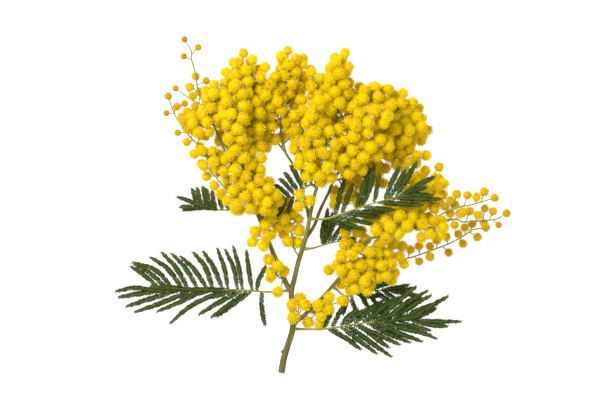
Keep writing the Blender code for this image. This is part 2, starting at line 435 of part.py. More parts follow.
def part_axes(axes, fixed, fixed_radii):
    """Bends axes that cross each other, a branch or a pinna up or down until they pass clear."""
    owner = np.repeat(np.arange(len(axes)), AXIS_POINTS)
    groups = [group_of(name) for name in axes]
    group = np.array([groups.index(groups[k]) for k in owner])
    around = np.concatenate([np.full(len(owner), AXIS_RADIUS), fixed_radii])
    rows = np.arange(len(owner))
    foot = np.minimum(np.arange(AXIS_POINTS) / FIXED_FOOT, 1)
    for _ in range(PART_ROUNDS):
        points = np.concatenate(list(axes.values()))
        apart = points[:, None] - np.concatenate([points, fixed])[None]
        distance = np.linalg.norm(apart, axis=2)
        distance[:, :len(points)][group[:, None] == group[None]] = np.inf
        over = np.clip(AXIS_RADIUS + AXIS_SPACE + around[None] - distance, 0, None)
        worst = over.argmax(1)
        lift = over[rows, worst] * np.where(apart[rows, worst][:, 2] >= 0, 1.0, -1.0)
        for path, own in zip(axes.values(), lift.reshape(-1, AXIS_POINTS)):
            own[:FIXED_FOOT] = 0
            wide = np.convolve(own, LIFT_SPREAD, "same") * foot
            path[:, 2] = np.maximum(path[:, 2] + 0.6 * wide, AXIS_FLOOR)


Head = namedtuple("Head", "raceme root centre radius")


def point_along(path, share):
    """The point at a share of an evenly spaced path, and the direction there."""
    at = share * (len(path) - 1)
    i = min(int(at), len(path) - 2)
    step = path[i + 1] - path[i]
    return path[i] + step * (at - i), step / np.linalg.norm(step)


def heads_in_turn(name, path, bare, draw):
    """The heads of a raceme, which stand round its axis by a steady turn or loosely in two rows."""
    raceme = RACEMES[name]
    heads = []
    for k in range(raceme.heads):
        end = k == raceme.heads - 1
        share = 1.0 if end else bare + (1 - bare) * (k + 0.5 + draw.uniform(-0.25, 0.25)) / raceme.heads
        root, forward = point_along(path, share)
        side = np.cross(forward, (0, 0, 1.0))
        side /= np.linalg.norm(side)
        size = raceme.foot_size + (raceme.tip_size - raceme.foot_size) * share + draw.uniform(-0.35, 0.35)
        turn = 180 * k + draw.uniform(-50, 50) if raceme.loose else HEAD_TURN * k + draw.uniform(-25, 25)
        turn = math.radians(turn)
        lean = math.radians(TIP_LEAN if end else draw.uniform(*HEAD_LEAN))
        out = side * math.cos(turn) + np.cross(side, forward) * math.sin(turn)
        stalk = forward * math.cos(lean) + out * math.sin(lean)
        heads.append(Head(name, root, root + stalk * (size / 2 + draw.uniform(*STALK_LENGTH)), size / 2))
    return heads


def heads_in_place(name, path, bare, draw):
    """The heads of a raceme whose places over the table are given."""
    heads = []
    for x, y, size in reversed(PLACED[name]):
        apart = np.linalg.norm(path[:, :2] - np.array((x, y)), axis=1)
        nearest = int(apart.argmin())
        share = nearest / (len(path) - 1) - STALK_SLANT * apart[nearest] / path_length(path)
        root, _ = point_along(path, max(share, bare))
        centre = np.array((x, y, root[2] + draw.uniform(-PLACED_RISE, PLACED_RISE)))
        heads.append(Head(name, root, centre, size / 2))
    return heads


def settle_heads(root, centre, radius, walls, wall_radii):
    """The centres of heads after all were moved clear of each other, of the walls and of the table."""
    reach = np.linalg.norm(centre - root, axis=1)
    rows = np.arange(len(root))
    for _ in range(SETTLE_ROUNDS):
        apart = centre[:, None] - centre[None]
        distance = np.linalg.norm(apart, axis=2)
        distance[rows, rows] = np.inf
        over = np.clip(radius[:, None] + radius[None] + GAP - distance, 0, None)
        centre = centre + (apart / distance[..., None] * over[..., None]).sum(1) * 0.45
        apart = centre[:, None] - walls[None]
        distance = np.linalg.norm(apart, axis=2)
        over = np.clip(radius[:, None] + wall_radii[None] + GAP - distance, 0, None)
        worst = over.argmax(1)
        centre = centre + apart[rows, worst] * (over[rows, worst] / distance[rows, worst])[:, None] * 0.8
        out = centre - root
        length = np.linalg.norm(out, axis=1)
        wanted = np.clip(length, radius + 1.0, reach + STALK_STRETCH)
        centre = root + out * ((length + (wanted - length) * 0.7) / length)[:, None]
        centre[:, 2] = np.maximum(centre[:, 2], FACE_DEPTH * radius)
    return centre


def lay_heads(axes, carrier_radii, fixed, fixed_radii):
    """Every flower head: its root on its axis and its place, after all were moved clear of each other."""
    draw = random.Random(SEED + 1)
    heads = []
    for name in RACEMES:
        bare = (carrier_radii[name] + BARE_STALK) / path_length(axes[name])
        lay = heads_in_place if name in PLACED else heads_in_turn
        heads += lay(name, axes[name], bare, draw)
    owners, root, centre, radius = zip(*heads)
    axis_points = np.concatenate([path[2:] for path in axes.values()])
    walls = np.concatenate([fixed, axis_points])
    wall_radii = np.concatenate([fixed_radii, np.full(len(axis_points), AXIS_RADIUS)])
    centre = settle_heads(np.array(root), np.array(centre), np.array(radius), walls, wall_radii)
    return [Head(*row) for row in zip(owners, root, centre, radius)]


def lay_sprig():
    """Everything's place: branches, fronds, raceme axes with their carriers' radii, and heads."""
    branches = lay_branches()
    fronds = lay_fronds(branches)
    axes, carrier_radii = lay_axes(branches)
    walls = [path for path, _ in branches.values()]
    around = [radii for _, radii in branches.values()]
    for rachis, pinnae in fronds.values():
        walls.append(rachis)
        around.append(np.full(len(rachis), RACHIS_RADIUS[0]))
        for pinna, half_width in pinnae:
            walls.append(smooth_path(pinna, 2 * PINNA_POINTS))
            around.append(np.full(2 * PINNA_POINTS, half_width))
    walls = np.concatenate(walls)
    around = np.concatenate(around)
    part_axes(axes, walls, around)
    heads = lay_heads(axes, carrier_radii, walls, around)
    return branches, fronds, axes, carrier_radii, heads


# Meshes

HEAD_SHARE = 0.15
PEDICEL_RADIUS = 0.45
PEDICEL_ROOT_RADIUS = 0.25
AXIS_CORNERS = (0.85, 0.7)
AXIS_SIDES = 3
BLADE_THICKNESS = 0.6
RIB_HALF_WIDTH = 0.5
ROOT_HALF_WIDTH = 0.2
LEAFLETS = 3
SHORT_PINNA = 21
LEAFLET_END = 0.86
LEAFLET_DROOP = 0.25
PINNA_TAPER = 0.4
STEM_STRIDE = 6
RACHIS_PICKS = [0, 4, 9, 14, 19, 24, 29]
CLEAR = 0.45
COLOURS = {
    "stem": ((0.20, 0.19, 0.06), 0.75),
    "frond": ((0.09, 0.16, 0.03), 0.65),
    "spray": ((0.82, 0.55, 0.02), 0.9),
}


def clear_scene():
    for item in list(bpy.data.objects):
        bpy.data.objects.remove(item)


def new_object(name, bm):
    """An object in the scene from a bmesh in millimetres, with its faces turned outwards."""
    bmesh.ops.recalc_face_normals(bm, faces=bm.faces)
    bmesh.ops.scale(bm, vec=(MM, MM, MM), verts=bm.verts)
    mesh = bpy.data.meshes.new(name)
    bm.to_mesh(mesh)
    bm.free()
    made = bpy.data.objects.new(name, mesh)
    bpy.context.scene.collection.objects.link(made)
    return made


def tube(name, path, radii, sides):
    """A round tube with flat ends along a path."""
    bm = bmesh.new()
    rings = []
    across = Vector((0, 0, 1))
    for i, point in enumerate(path):
        forward = Vector(path[min(i + 1, len(path) - 1)] - path[max(i - 1, 0)]).normalized()
        across = (across - forward * across.dot(forward)).normalized()
        beside = forward.cross(across)
        ring = []
        for k in range(sides):
            angle = math.tau * (k + 0.5) / sides
            offset = (across * math.cos(angle) + beside * math.sin(angle)) * radii[i]
            ring.append(bm.verts.new(Vector(point) + offset))
        rings.append(ring)
    for low, high in zip(rings, rings[1:]):
        for k in range(sides):
            bm.faces.new((low[k], low[(k + 1) % sides], high[(k + 1) % sides], high[k]))
    bm.faces.new(rings[0])
    bm.faces.new(rings[-1])
    return new_object(name, bm)


def is_on_table(head):
    return head.centre[2] < FACE_DEPTH * head.radius + 0.01


def flower_head(name, head, root):
    """A head of twenty faces, with its stalk drawn out of the face that looks towards its root.
    A head that reaches the table stands on a flat face."""
    bm = bmesh.new()
    bmesh.ops.create_icosphere(bm, subdivisions=1, radius=head.radius)
    bm.normal_update()
    bm.faces.ensure_lookup_table()
    centre = Vector(head.centre)
    towards = (Vector(root) - centre).normalized()
    turn = bm.faces[0].normal.rotation_difference(Vector((0, 0, -1)) if is_on_table(head) else towards)
    bmesh.ops.rotate(bm, cent=(0, 0, 0), matrix=turn.to_matrix(), verts=bm.verts)
    bmesh.ops.translate(bm, vec=centre, verts=bm.verts)
    bm.normal_update()
    sides = [face for face in bm.faces if not is_on_table(head) or face.normal.z > -0.9]
    face = max(sides, key=lambda f: f.normal.dot(towards))
    for target, size in ((face.calc_center_median(), PEDICEL_RADIUS), (Vector(root), PEDICEL_ROOT_RADIUS)):
        face = bmesh.ops.extrude_discrete_faces(bm, faces=[face])["faces"][0]
        middle = face.calc_center_median()
        for vert in face.verts:
            vert.co = target + (vert.co - middle).normalized() * size
    return new_object(name, bm)


def blade_corners(bm, path, half_width, leaflets):
    """The corners of a blade in pairs, top and bottom: along each side of its rib, at each leaflet's
    tip, and at the blade's end."""
    def pair(point, up):
        half = up * (BLADE_THICKNESS / 2)
        return bm.verts.new(point + half), bm.verts.new(point - half)

    stations = [Vector(point) for point in smooth_path(path, leaflets + 1)]
    rows = []
    for i in range(leaflets + 1):
        forward = (stations[min(i + 1, leaflets)] - stations[max(i - 1, 0)]).normalized()
        beside = Vector((0, 0, 1)).cross(forward).normalized()
        rows.append((beside, forward.cross(beside)))
    ribs = {}
    tips = {}
    for i, (beside, up) in enumerate(rows[:-1]):
        rib = RIB_HALF_WIDTH if i else ROOT_HALF_WIDTH
        width = half_width * (1 - PINNA_TAPER * i / leaflets)
        ahead = stations[i] + (stations[i + 1] - stations[i]) * LEAFLET_END
        for side in (1, -1):
            ribs[i, side] = pair(stations[i] + beside * side * rib, up)
            tips[i, side] = pair(ahead + rows[i + 1][0] * side * width - up * LEAFLET_DROOP, up)
    return ribs, tips, pair(stations[-1], rows[-1][1])


def pinna_blade(name, path, half_width, leaflets):
    """One thin blade that follows the path, with its edges cut into leaflets down to the rib."""
    bm = bmesh.new()
    ribs, tips, end = blade_corners(bm, path, half_width, leaflets)
    for i in range(leaflets):
        left, right = ribs[i, 1], ribs[i, -1]
        next_left, next_right = (end, end) if i == leaflets - 1 else (ribs[i + 1, 1], ribs[i + 1, -1])
        for layer in (0, 1):
            bm.faces.new((left[layer], tips[i, 1][layer], next_left[layer]))
            bm.faces.new((right[layer], tips[i, -1][layer], next_right[layer]))
            bm.faces.new((left[layer], right[layer], next_right[layer]))
            if next_left is not next_right:
                bm.faces.new((left[layer], next_right[layer], next_left[layer]))
    border = []
    for i in range(leaflets):
        border += [ribs[i, 1], tips[i, 1]]
    border.append(end)
    for i in reversed(range(leaflets)):
        border += [tips[i, -1], ribs[i, -1]]
    for (top, bottom), (next_top, next_bottom) in zip(border, border[1:] + border[:1]):
        bm.faces.new((top, next_top, next_bottom))
        bm.faces.new((top, next_bottom, bottom))
    return new_object(name, bm)


def join(main, others):
    """The union of an object with all the others, which are then removed."""
    if not others:
        return main
    group = bpy.data.collections.new(main.name + "_parts")
    bpy.context.scene.collection.children.link(group)
    for item in others:
        bpy.context.scene.collection.objects.unlink(item)
        group.objects.link(item)
    union = main.modifiers.new("union", "BOOLEAN")
    union.operation = "UNION"
    union.operand_type = "COLLECTION"
    union.collection = group
    union.solver = "MANIFOLD"
    bpy.ops.object.select_all(action="DESELECT")
    bpy.context.view_layer.objects.active = main
    main.select_set(True)
    bpy.ops.object.modifier_apply(modifier=union.name)
    for item in others:
        bpy.data.objects.remove(item)
    bpy.data.collections.remove(group)
    return main


def paint(item, kind):
    colour, roughness = COLOURS[kind]
    material = bpy.data.materials.new(item.name)
    material.use_nodes = True
    surface = material.node_tree.nodes["Principled BSDF"]
    surface.inputs["Base Color"].default_value = (*colour, 1)
    surface.inputs["Roughness"].default_value = roughness
    surface.inputs["Metallic"].default_value = 0
    item.data.materials.clear()
    item.data.materials.append(material)


def build_stem(branches):
    tubes = []
    for name, (path, radii) in branches.items():
        picks = sorted({*range(0, len(path), STEM_STRIDE), len(path) - 1})
        sides = 7 if name == "trunk" else 6 if radii[0] > 1.4 else 5
        tubes.append(tube("stem" if name == "trunk" else name, path[picks], radii[picks], sides))
    start, end, radius = SCAR
    tubes.append(tube("scar", np.array([start, end], float), (radius, radius * 0.8), 6))
    paint(join(tubes[0], tubes[1:]), "stem")


def build_frond(name, rachis, pinnae):
    line = rachis[RACHIS_PICKS]
    main = tube(name, line, np.linspace(*RACHIS_RADIUS, len(line)), 4)
    blades = []
    for k, (path, half_width) in enumerate(pinnae):
        path = path + (nearest_on(line, path[0]) - path[0])
        leaflets = LEAFLETS if path_length(path) > SHORT_PINNA else LEAFLETS - 1
        blades.append(pinna_blade(f"{name}_{k}", path, half_width, leaflets))
    paint(join(main, blades), "frond")


class Room:
    """What is taken already: balls, each of a node, that a new piece of another node keeps clear of."""

    def __init__(self):
        self.points = np.zeros((0, 3))
        self.radii = np.zeros(0)
        self.owners = np.zeros(0, int)

    def add(self, points, radii, owner):
        self.points = np.concatenate([self.points, points])
        self.radii = np.concatenate([self.radii, np.broadcast_to(radii, len(points))])
        self.owners = np.concatenate([self.owners, np.full(len(points), owner)])

    def is_free(self, points, radius, owner):
        foreign = self.owners != owner
        distance = np.linalg.norm(points[:, None] - self.points[foreign][None], axis=2)
        return bool((distance > self.radii[foreign] + radius + CLEAR).all())


def room_of(branches, fronds, axes, sprays):
    """What branches, fronds and raceme axes take. Sprays own their axes by their place in the list."""
    room = Room()
    for path, radii in branches.values():
        room.add(path, radii, -1)
    for k, (rachis, pinnae) in enumerate(fronds.values()):
        room.add(rachis, RACHIS_RADIUS[0], -2 - k)
        for pinna, half_width in pinnae:
            room.add(smooth_path(pinna, 2 * PINNA_POINTS), half_width * 0.8, -2 - k)
    for name, path in axes.items():
        room.add(smooth_path(path[1:], 60), AXIS_RADIUS, sprays.index(group_of(name)))
    return room


def heads_in_order(own):
    """The heads of a raceme that are tried first, then the rest: those on the table, then a share of
    all, spread evenly from the tip. Also how many of them are wanted."""
    order = [head for head in own if is_on_table(head)]
    wanted = max(1, round(len(own) * HEAD_SHARE), len(order))
    order += [own[int(k * len(own) / wanted)] for k in range(wanted - len(order))]
    order += own
    return [head for k, head in enumerate(order) if all(head is not other for other in order[:k])], wanted


def pick_heads(room, heads, sprays):
    """Some heads of each raceme, whose stalks cross nothing of another node."""
    picked = []
    for name in RACEMES:
        order, wanted = heads_in_order([head for head in heads if head.raceme == name][::-1])
        owner = sprays.index(group_of(name))
        for head in order:
            if wanted == 0:
                break
            stalk = np.linspace(head.root, head.centre, 8)
            is_free = room.is_free(stalk, PEDICEL_RADIUS, owner)
            if not is_free or not room.is_free(head.centre[None], head.radius, owner):
                continue
            room.add(stalk, PEDICEL_RADIUS, owner)
            room.add(head.centre[None], head.radius, owner)
            picked.append(head)
            wanted -= 1
    return picked


def nearest_on(path, point):
    """The point of a path of straight stretches that is nearest to the given one."""
    starts = path[:-1]
    steps = path[1:] - starts
    shares = np.clip(((point - starts) * steps).sum(1) / (steps ** 2).sum(1), 0, 1)
    found = starts + steps * shares[:, None]
    return found[int(np.argmin(np.linalg.norm(found - point, axis=1)))]


def coarse_axes(branches, axes):
    """The axes in few stretches. Each starts clear of a branch, or inside the raceme that bears it."""
    coarse = {}
    waiting = list(axes)
    while waiting:
        name = waiting.pop(0)
        carrier = RACEMES[name].carrier
        path = axes[name]
        if carrier in branches:
            path = clear_start(path, AXIS_CORNERS[1], branches)
        elif carrier not in coarse:
            waiting.append(name)
            continue
        count = len(RACEMES[name].way) + 2
        points = path[np.linspace(0, len(path) - 1, count).round().astype(int)]
        if carrier in coarse:
            points[0] = nearest_on(coarse[carrier], points[0])
        coarse[name] = points
    return coarse


def build_spray(spray, coarse, picked):
    """One solid of a raceme that starts on a branch, with the racemes that it bears."""
    pieces = []
    for name in RACEMES:
        if group_of(name) != spray:
            continue
        radii = np.linspace(*AXIS_CORNERS, len(coarse[name]))
        pieces.append(tube(f"axis_{name}", coarse[name], radii, AXIS_SIDES))
        for k, head in enumerate(h for h in picked if h.raceme == name):
            pieces.append(flower_head(f"head_{name}_{k}", head, nearest_on(coarse[name], head.root)))
    pieces[0].name = f"spray_{spray}"
    paint(join(pieces[0], pieces[1:]), "spray")


def main():
    clear_scene()
    branches, fronds, axes, _, heads = lay_sprig()
    sprays = [name for name in RACEMES if group_of(name) == name]
    picked = pick_heads(room_of(branches, fronds, axes, sprays), heads, sprays)
    build_stem(branches)
    for name, (rachis, pinnae) in fronds.items():
        build_frond(name, rachis, pinnae)
    coarse = coarse_axes(branches, axes)
    for spray in sprays:
        build_spray(spray, coarse, picked)


main()
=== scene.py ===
# %% [markdown]
# # A mimosa sprig, laid on a table
#
# The sprig is a forked stem with feathery leaves and hundreds of round yellow flower heads. Its solid
# model is loaded first, as a frame that stays where it is. Around it this lesson models what the eye
# looks for: stamens on every head, leaflets on every leaf, and ribs and streaks along the stem.

# %% Load the frame
import math
import random
from collections import namedtuple

import bpy
import numpy as np
from mathutils import Matrix, Quaternion, Vector


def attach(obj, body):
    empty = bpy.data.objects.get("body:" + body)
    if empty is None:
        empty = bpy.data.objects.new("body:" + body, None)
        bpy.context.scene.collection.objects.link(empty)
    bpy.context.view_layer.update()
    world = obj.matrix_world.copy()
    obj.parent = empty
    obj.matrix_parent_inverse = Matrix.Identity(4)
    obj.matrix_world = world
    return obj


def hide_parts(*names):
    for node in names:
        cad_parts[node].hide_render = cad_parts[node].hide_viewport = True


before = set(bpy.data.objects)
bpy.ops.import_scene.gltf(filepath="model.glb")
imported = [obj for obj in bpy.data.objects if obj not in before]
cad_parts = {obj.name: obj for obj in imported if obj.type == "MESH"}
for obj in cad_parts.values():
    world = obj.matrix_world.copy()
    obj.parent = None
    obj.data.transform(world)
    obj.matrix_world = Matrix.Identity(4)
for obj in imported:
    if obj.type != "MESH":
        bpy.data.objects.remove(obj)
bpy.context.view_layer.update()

MM = 0.001
print("Solid pieces in the frame:", len(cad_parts))

# %% [markdown]
# ## Camera
#
# A cut sprig lies on the table, so the camera looks straight down on it. A long lens far above keeps the
# picture almost free of perspective, as in a catalogue shot. The lens is worked out from the width of the
# picture at the height of the flowers.

# %% Place the camera
PICTURE_WIDTH = 440.6 * MM
PICTURE_CENTRE = (-5.0 * MM, 1.3 * MM)
FLOWER_HEIGHT = 22 * MM
CAMERA_HEIGHT = 3.0
SENSOR = 36.0

camera_data = bpy.data.cameras.new("camera")
camera_data.sensor_width = SENSOR
camera_data.lens = SENSOR * (CAMERA_HEIGHT - FLOWER_HEIGHT) / PICTURE_WIDTH
camera = bpy.data.objects.new("camera", camera_data)
camera.location = (*PICTURE_CENTRE, CAMERA_HEIGHT)
bpy.context.scene.collection.objects.link(camera)
bpy.context.scene.camera = camera
print("Lens:", round(camera_data.lens, 1), "mm")

# %% [markdown]
# ## Light
#
# Flower heads are soft and deep, and hard light would turn them to noise. One lamp alone would leave their
# undersides black. So a white room gives most of the light, and a wide lamp from the upper left models
# the balls.

# %% Room and lamps
ROOM_LIGHT = 0.5
ROOM_COLOUR = (1.0, 0.99, 0.97, 1)
# Each lamp: its place and the side of its square, both in metres, and its power in watts.
LAMPS = {
    "key": ((-0.5, 0.45, 1.0), 0.5, 10.9),
    "fill": ((0.8, -0.5, 0.9), 1.2, 2.4),
}

bpy.context.scene.view_settings.view_transform = "Standard"
world = bpy.data.worlds.new("white room")
world.use_nodes = True
world.node_tree.nodes["Background"].inputs["Color"].default_value = ROOM_COLOUR
world.node_tree.nodes["Background"].inputs["Strength"].default_value = ROOM_LIGHT
bpy.context.scene.world = world
for name, (place, side, power) in LAMPS.items():
    lamp_data = bpy.data.lights.new(name, "AREA")
    lamp_data.size = side
    lamp_data.energy = power
    lamp = bpy.data.objects.new(name, lamp_data)
    lamp.location = place
    lamp.rotation_euler = Vector(place).to_track_quat("Z", "Y").to_euler()
    bpy.context.scene.collection.objects.link(lamp)
print("Lamps:", ", ".join(LAMPS))

# %% [markdown]
# ## Table
#
# The sprig lies on white paper. Paper that is only lit would turn grey in the shadows, so it glows a
# little by itself, and the shadows on it stay faint.

# %% Lay the paper
TABLE_SIDE = 6.0
TABLE_TOP = -0.2 * MM
PAPER = {
    "Base Color": (0.3, 0.3, 0.3, 1),
    "Roughness": 0.9,
    "Specular IOR Level": 0.1,
    "Emission Color": (1, 1, 1, 1),
    "Emission Strength": 0.95,
}

bpy.ops.object.select_all(action="DESELECT")
bpy.ops.mesh.primitive_plane_add(size=TABLE_SIDE, location=(0, 0, TABLE_TOP))
table = bpy.context.object
table.name = "table"
table_material = bpy.data.materials.new("white paper")
table_material.use_nodes = True
for socket, value in PAPER.items():
    table_material.node_tree.nodes["Principled BSDF"].inputs[socket].default_value = value
table.data.materials.append(table_material)
print("Table:", TABLE_SIDE, "m wide")

# %% [markdown]
# ## Where the branches run
#
# A real sprig is drawn from its middle lines outwards. Each branch is a smooth line through a few points
# that are listed, in millimetres, with z as the height over the table. The solid frame follows the
# same lines, so what is modelled here fits it.

# %% Branch lines
# Each branch: radius at its foot and at its tip, then the points of its middle line.
BRANCHES = {
    "trunk": (2.4, 0.7, [
        (-23, -121, 3.0), (-21, -110, 3.1), (-18, -100, 3.6), (-15, -90, 4.6), (-15, -80, 5.8),
        (-15.5, -71, 7), (-15.5, -61, 8.5), (-13.5, -53, 10.5), (-11, -42, 13), (-8, -32, 16),
        (-5.5, -24, 18.5), (-3.5, -15, 21), (-2, -6, 24), (0, 3, 26.5), (2, 11, 29), (5, 17, 31),
        (9, 24, 33), (12, 31, 35), (15, 40, 37), (19, 50, 38), (22, 60, 39), (24, 71, 39),
    ]),
    "left": (1.9, 0.6, [
        (-16, -62, 8.5), (-20, -55, 10), (-24, -45, 12), (-28, -36, 14), (-32, -26, 16.5),
        (-36, -16, 19), (-40, -6, 21), (-45, 4, 23), (-50, 14, 24.5), (-55, 23, 26), (-60, 33, 27),
        (-66, 45, 28), (-70, 55, 28), (-75, 66, 27), (-80, 76, 26),
    ]),
    "left_front": (1.3, 0.6, [
        (-35, -19, 18), (-36, -10, 23), (-40, 0, 28), (-43, 9, 32), (-46, 18, 35), (-48, 29, 37.5),
        (-49, 40, 39), (-50, 50, 40), (-51, 61, 40),
    ]),
    "middle_back": (1.2, 0.6, [
        (-3, -9, 23), (-5, 1, 20.5), (-8, 11, 18.5), (-10, 19, 17.5), (-14, 29, 17.5),
        (-19, 37, 18), (-21, 43, 18.5), (-23, 52, 19.5), (-23, 63, 21), (-22, 73, 22),
    ]),
    "right_back": (1.3, 0.6, [
        (-7, -26, 18), (-4, -22, 17), (1, -14, 15.5), (4, -6, 15.5), (7, 1, 16), (11, 9, 16.5),
        (14, 17, 17.5), (19, 25, 18.5), (25, 34, 20), (34, 42, 21.5), (44, 49, 23), (53, 55, 24),
    ]),
    "low_right": (1.6, 0.6, [
        (-15, -89, 4.8), (-12, -84, 6), (-6, -79, 7.5), (-1, -73, 9.5), (6, -67, 11.5),
        (13, -59, 13.5), (18, -53, 15), (23, -47, 17), (28, -40, 19), (32, -32, 21), (36, -27, 23),
        (43, -23, 25), (53, -21, 26.5), (63, -19, 27.5), (73, -16, 28), (84, -12, 28),
        (94, -10, 27.5),
    ]),
}

print("Branches:", ", ".join(BRANCHES))

# %% [markdown]
# Points that lie far apart need a curve through them. A Bezier curve would have to be read back point by
# point, so the points are worked out here: a Catmull-Rom spline passes through every given one, and
# spacing the result evenly keeps rings and leaflets regular later on.

# %% Smooth lines
SPLINE_STEPS = 12
RINGS_PER_POINT = 4


def smooth_path(points, count):
    """count points, evenly spaced by length, on a smooth curve through the given ones."""
    given = np.array(points, float)
    given = np.vstack([2 * given[0] - given[1], given, 2 * given[-1] - given[-2]])
    fine = []
    for i in range(1, len(given) - 2):
        a, b, c, d = given[i - 1:i + 3]
        for t in np.linspace(0, 1, SPLINE_STEPS, endpoint=False):
            fine.append(0.5 * (2 * b + (c - a) * t + (2 * a - 5 * b + 4 * c - d) * t ** 2
                               + (3 * b - a - 3 * c + d) * t ** 3))
    fine.append(given[-2])
    return stretch_of(np.array(fine), 0.0, 0.0, count)


def path_length(path):
    return float(np.linalg.norm(np.diff(path, axis=0), axis=1).sum())


def stretch_of(path, cut_start, cut_end, count):
    """count points, evenly spaced, on a path without so much of its length at its start and end."""
    lengths = np.concatenate([[0], np.cumsum(np.linalg.norm(np.diff(path, axis=0), axis=1))])
    even = np.linspace(cut_start, lengths[-1] - cut_end, count)
    return np.stack([np.interp(even, lengths, path[:, k]) for k in range(3)], 1)


def lay_branches():
    """For each branch its path and the radius at each point of it."""
    laid = {}
    for name, (foot, tip, points) in BRANCHES.items():
        path = smooth_path(points, RINGS_PER_POINT * len(points))
        laid[name] = path, np.linspace(foot, tip, len(path))
    return laid


branches = lay_branches()
for name, (path, _) in branches.items():
    print(f"{name}: {path_length(path):.0f} mm")

# %% [markdown]
# ## Where the leaves grow
#
# A mimosa leaf is feathered twice: a rachis bears pinnae, and each pinna bears leaflets. A rule could
# shorten the pinnae evenly towards the tip, but a leaf that is pressed by its own weight is never so even.
# So a leaf is set by the line of its rachis and, for each of its pinnae, by three places over the table.

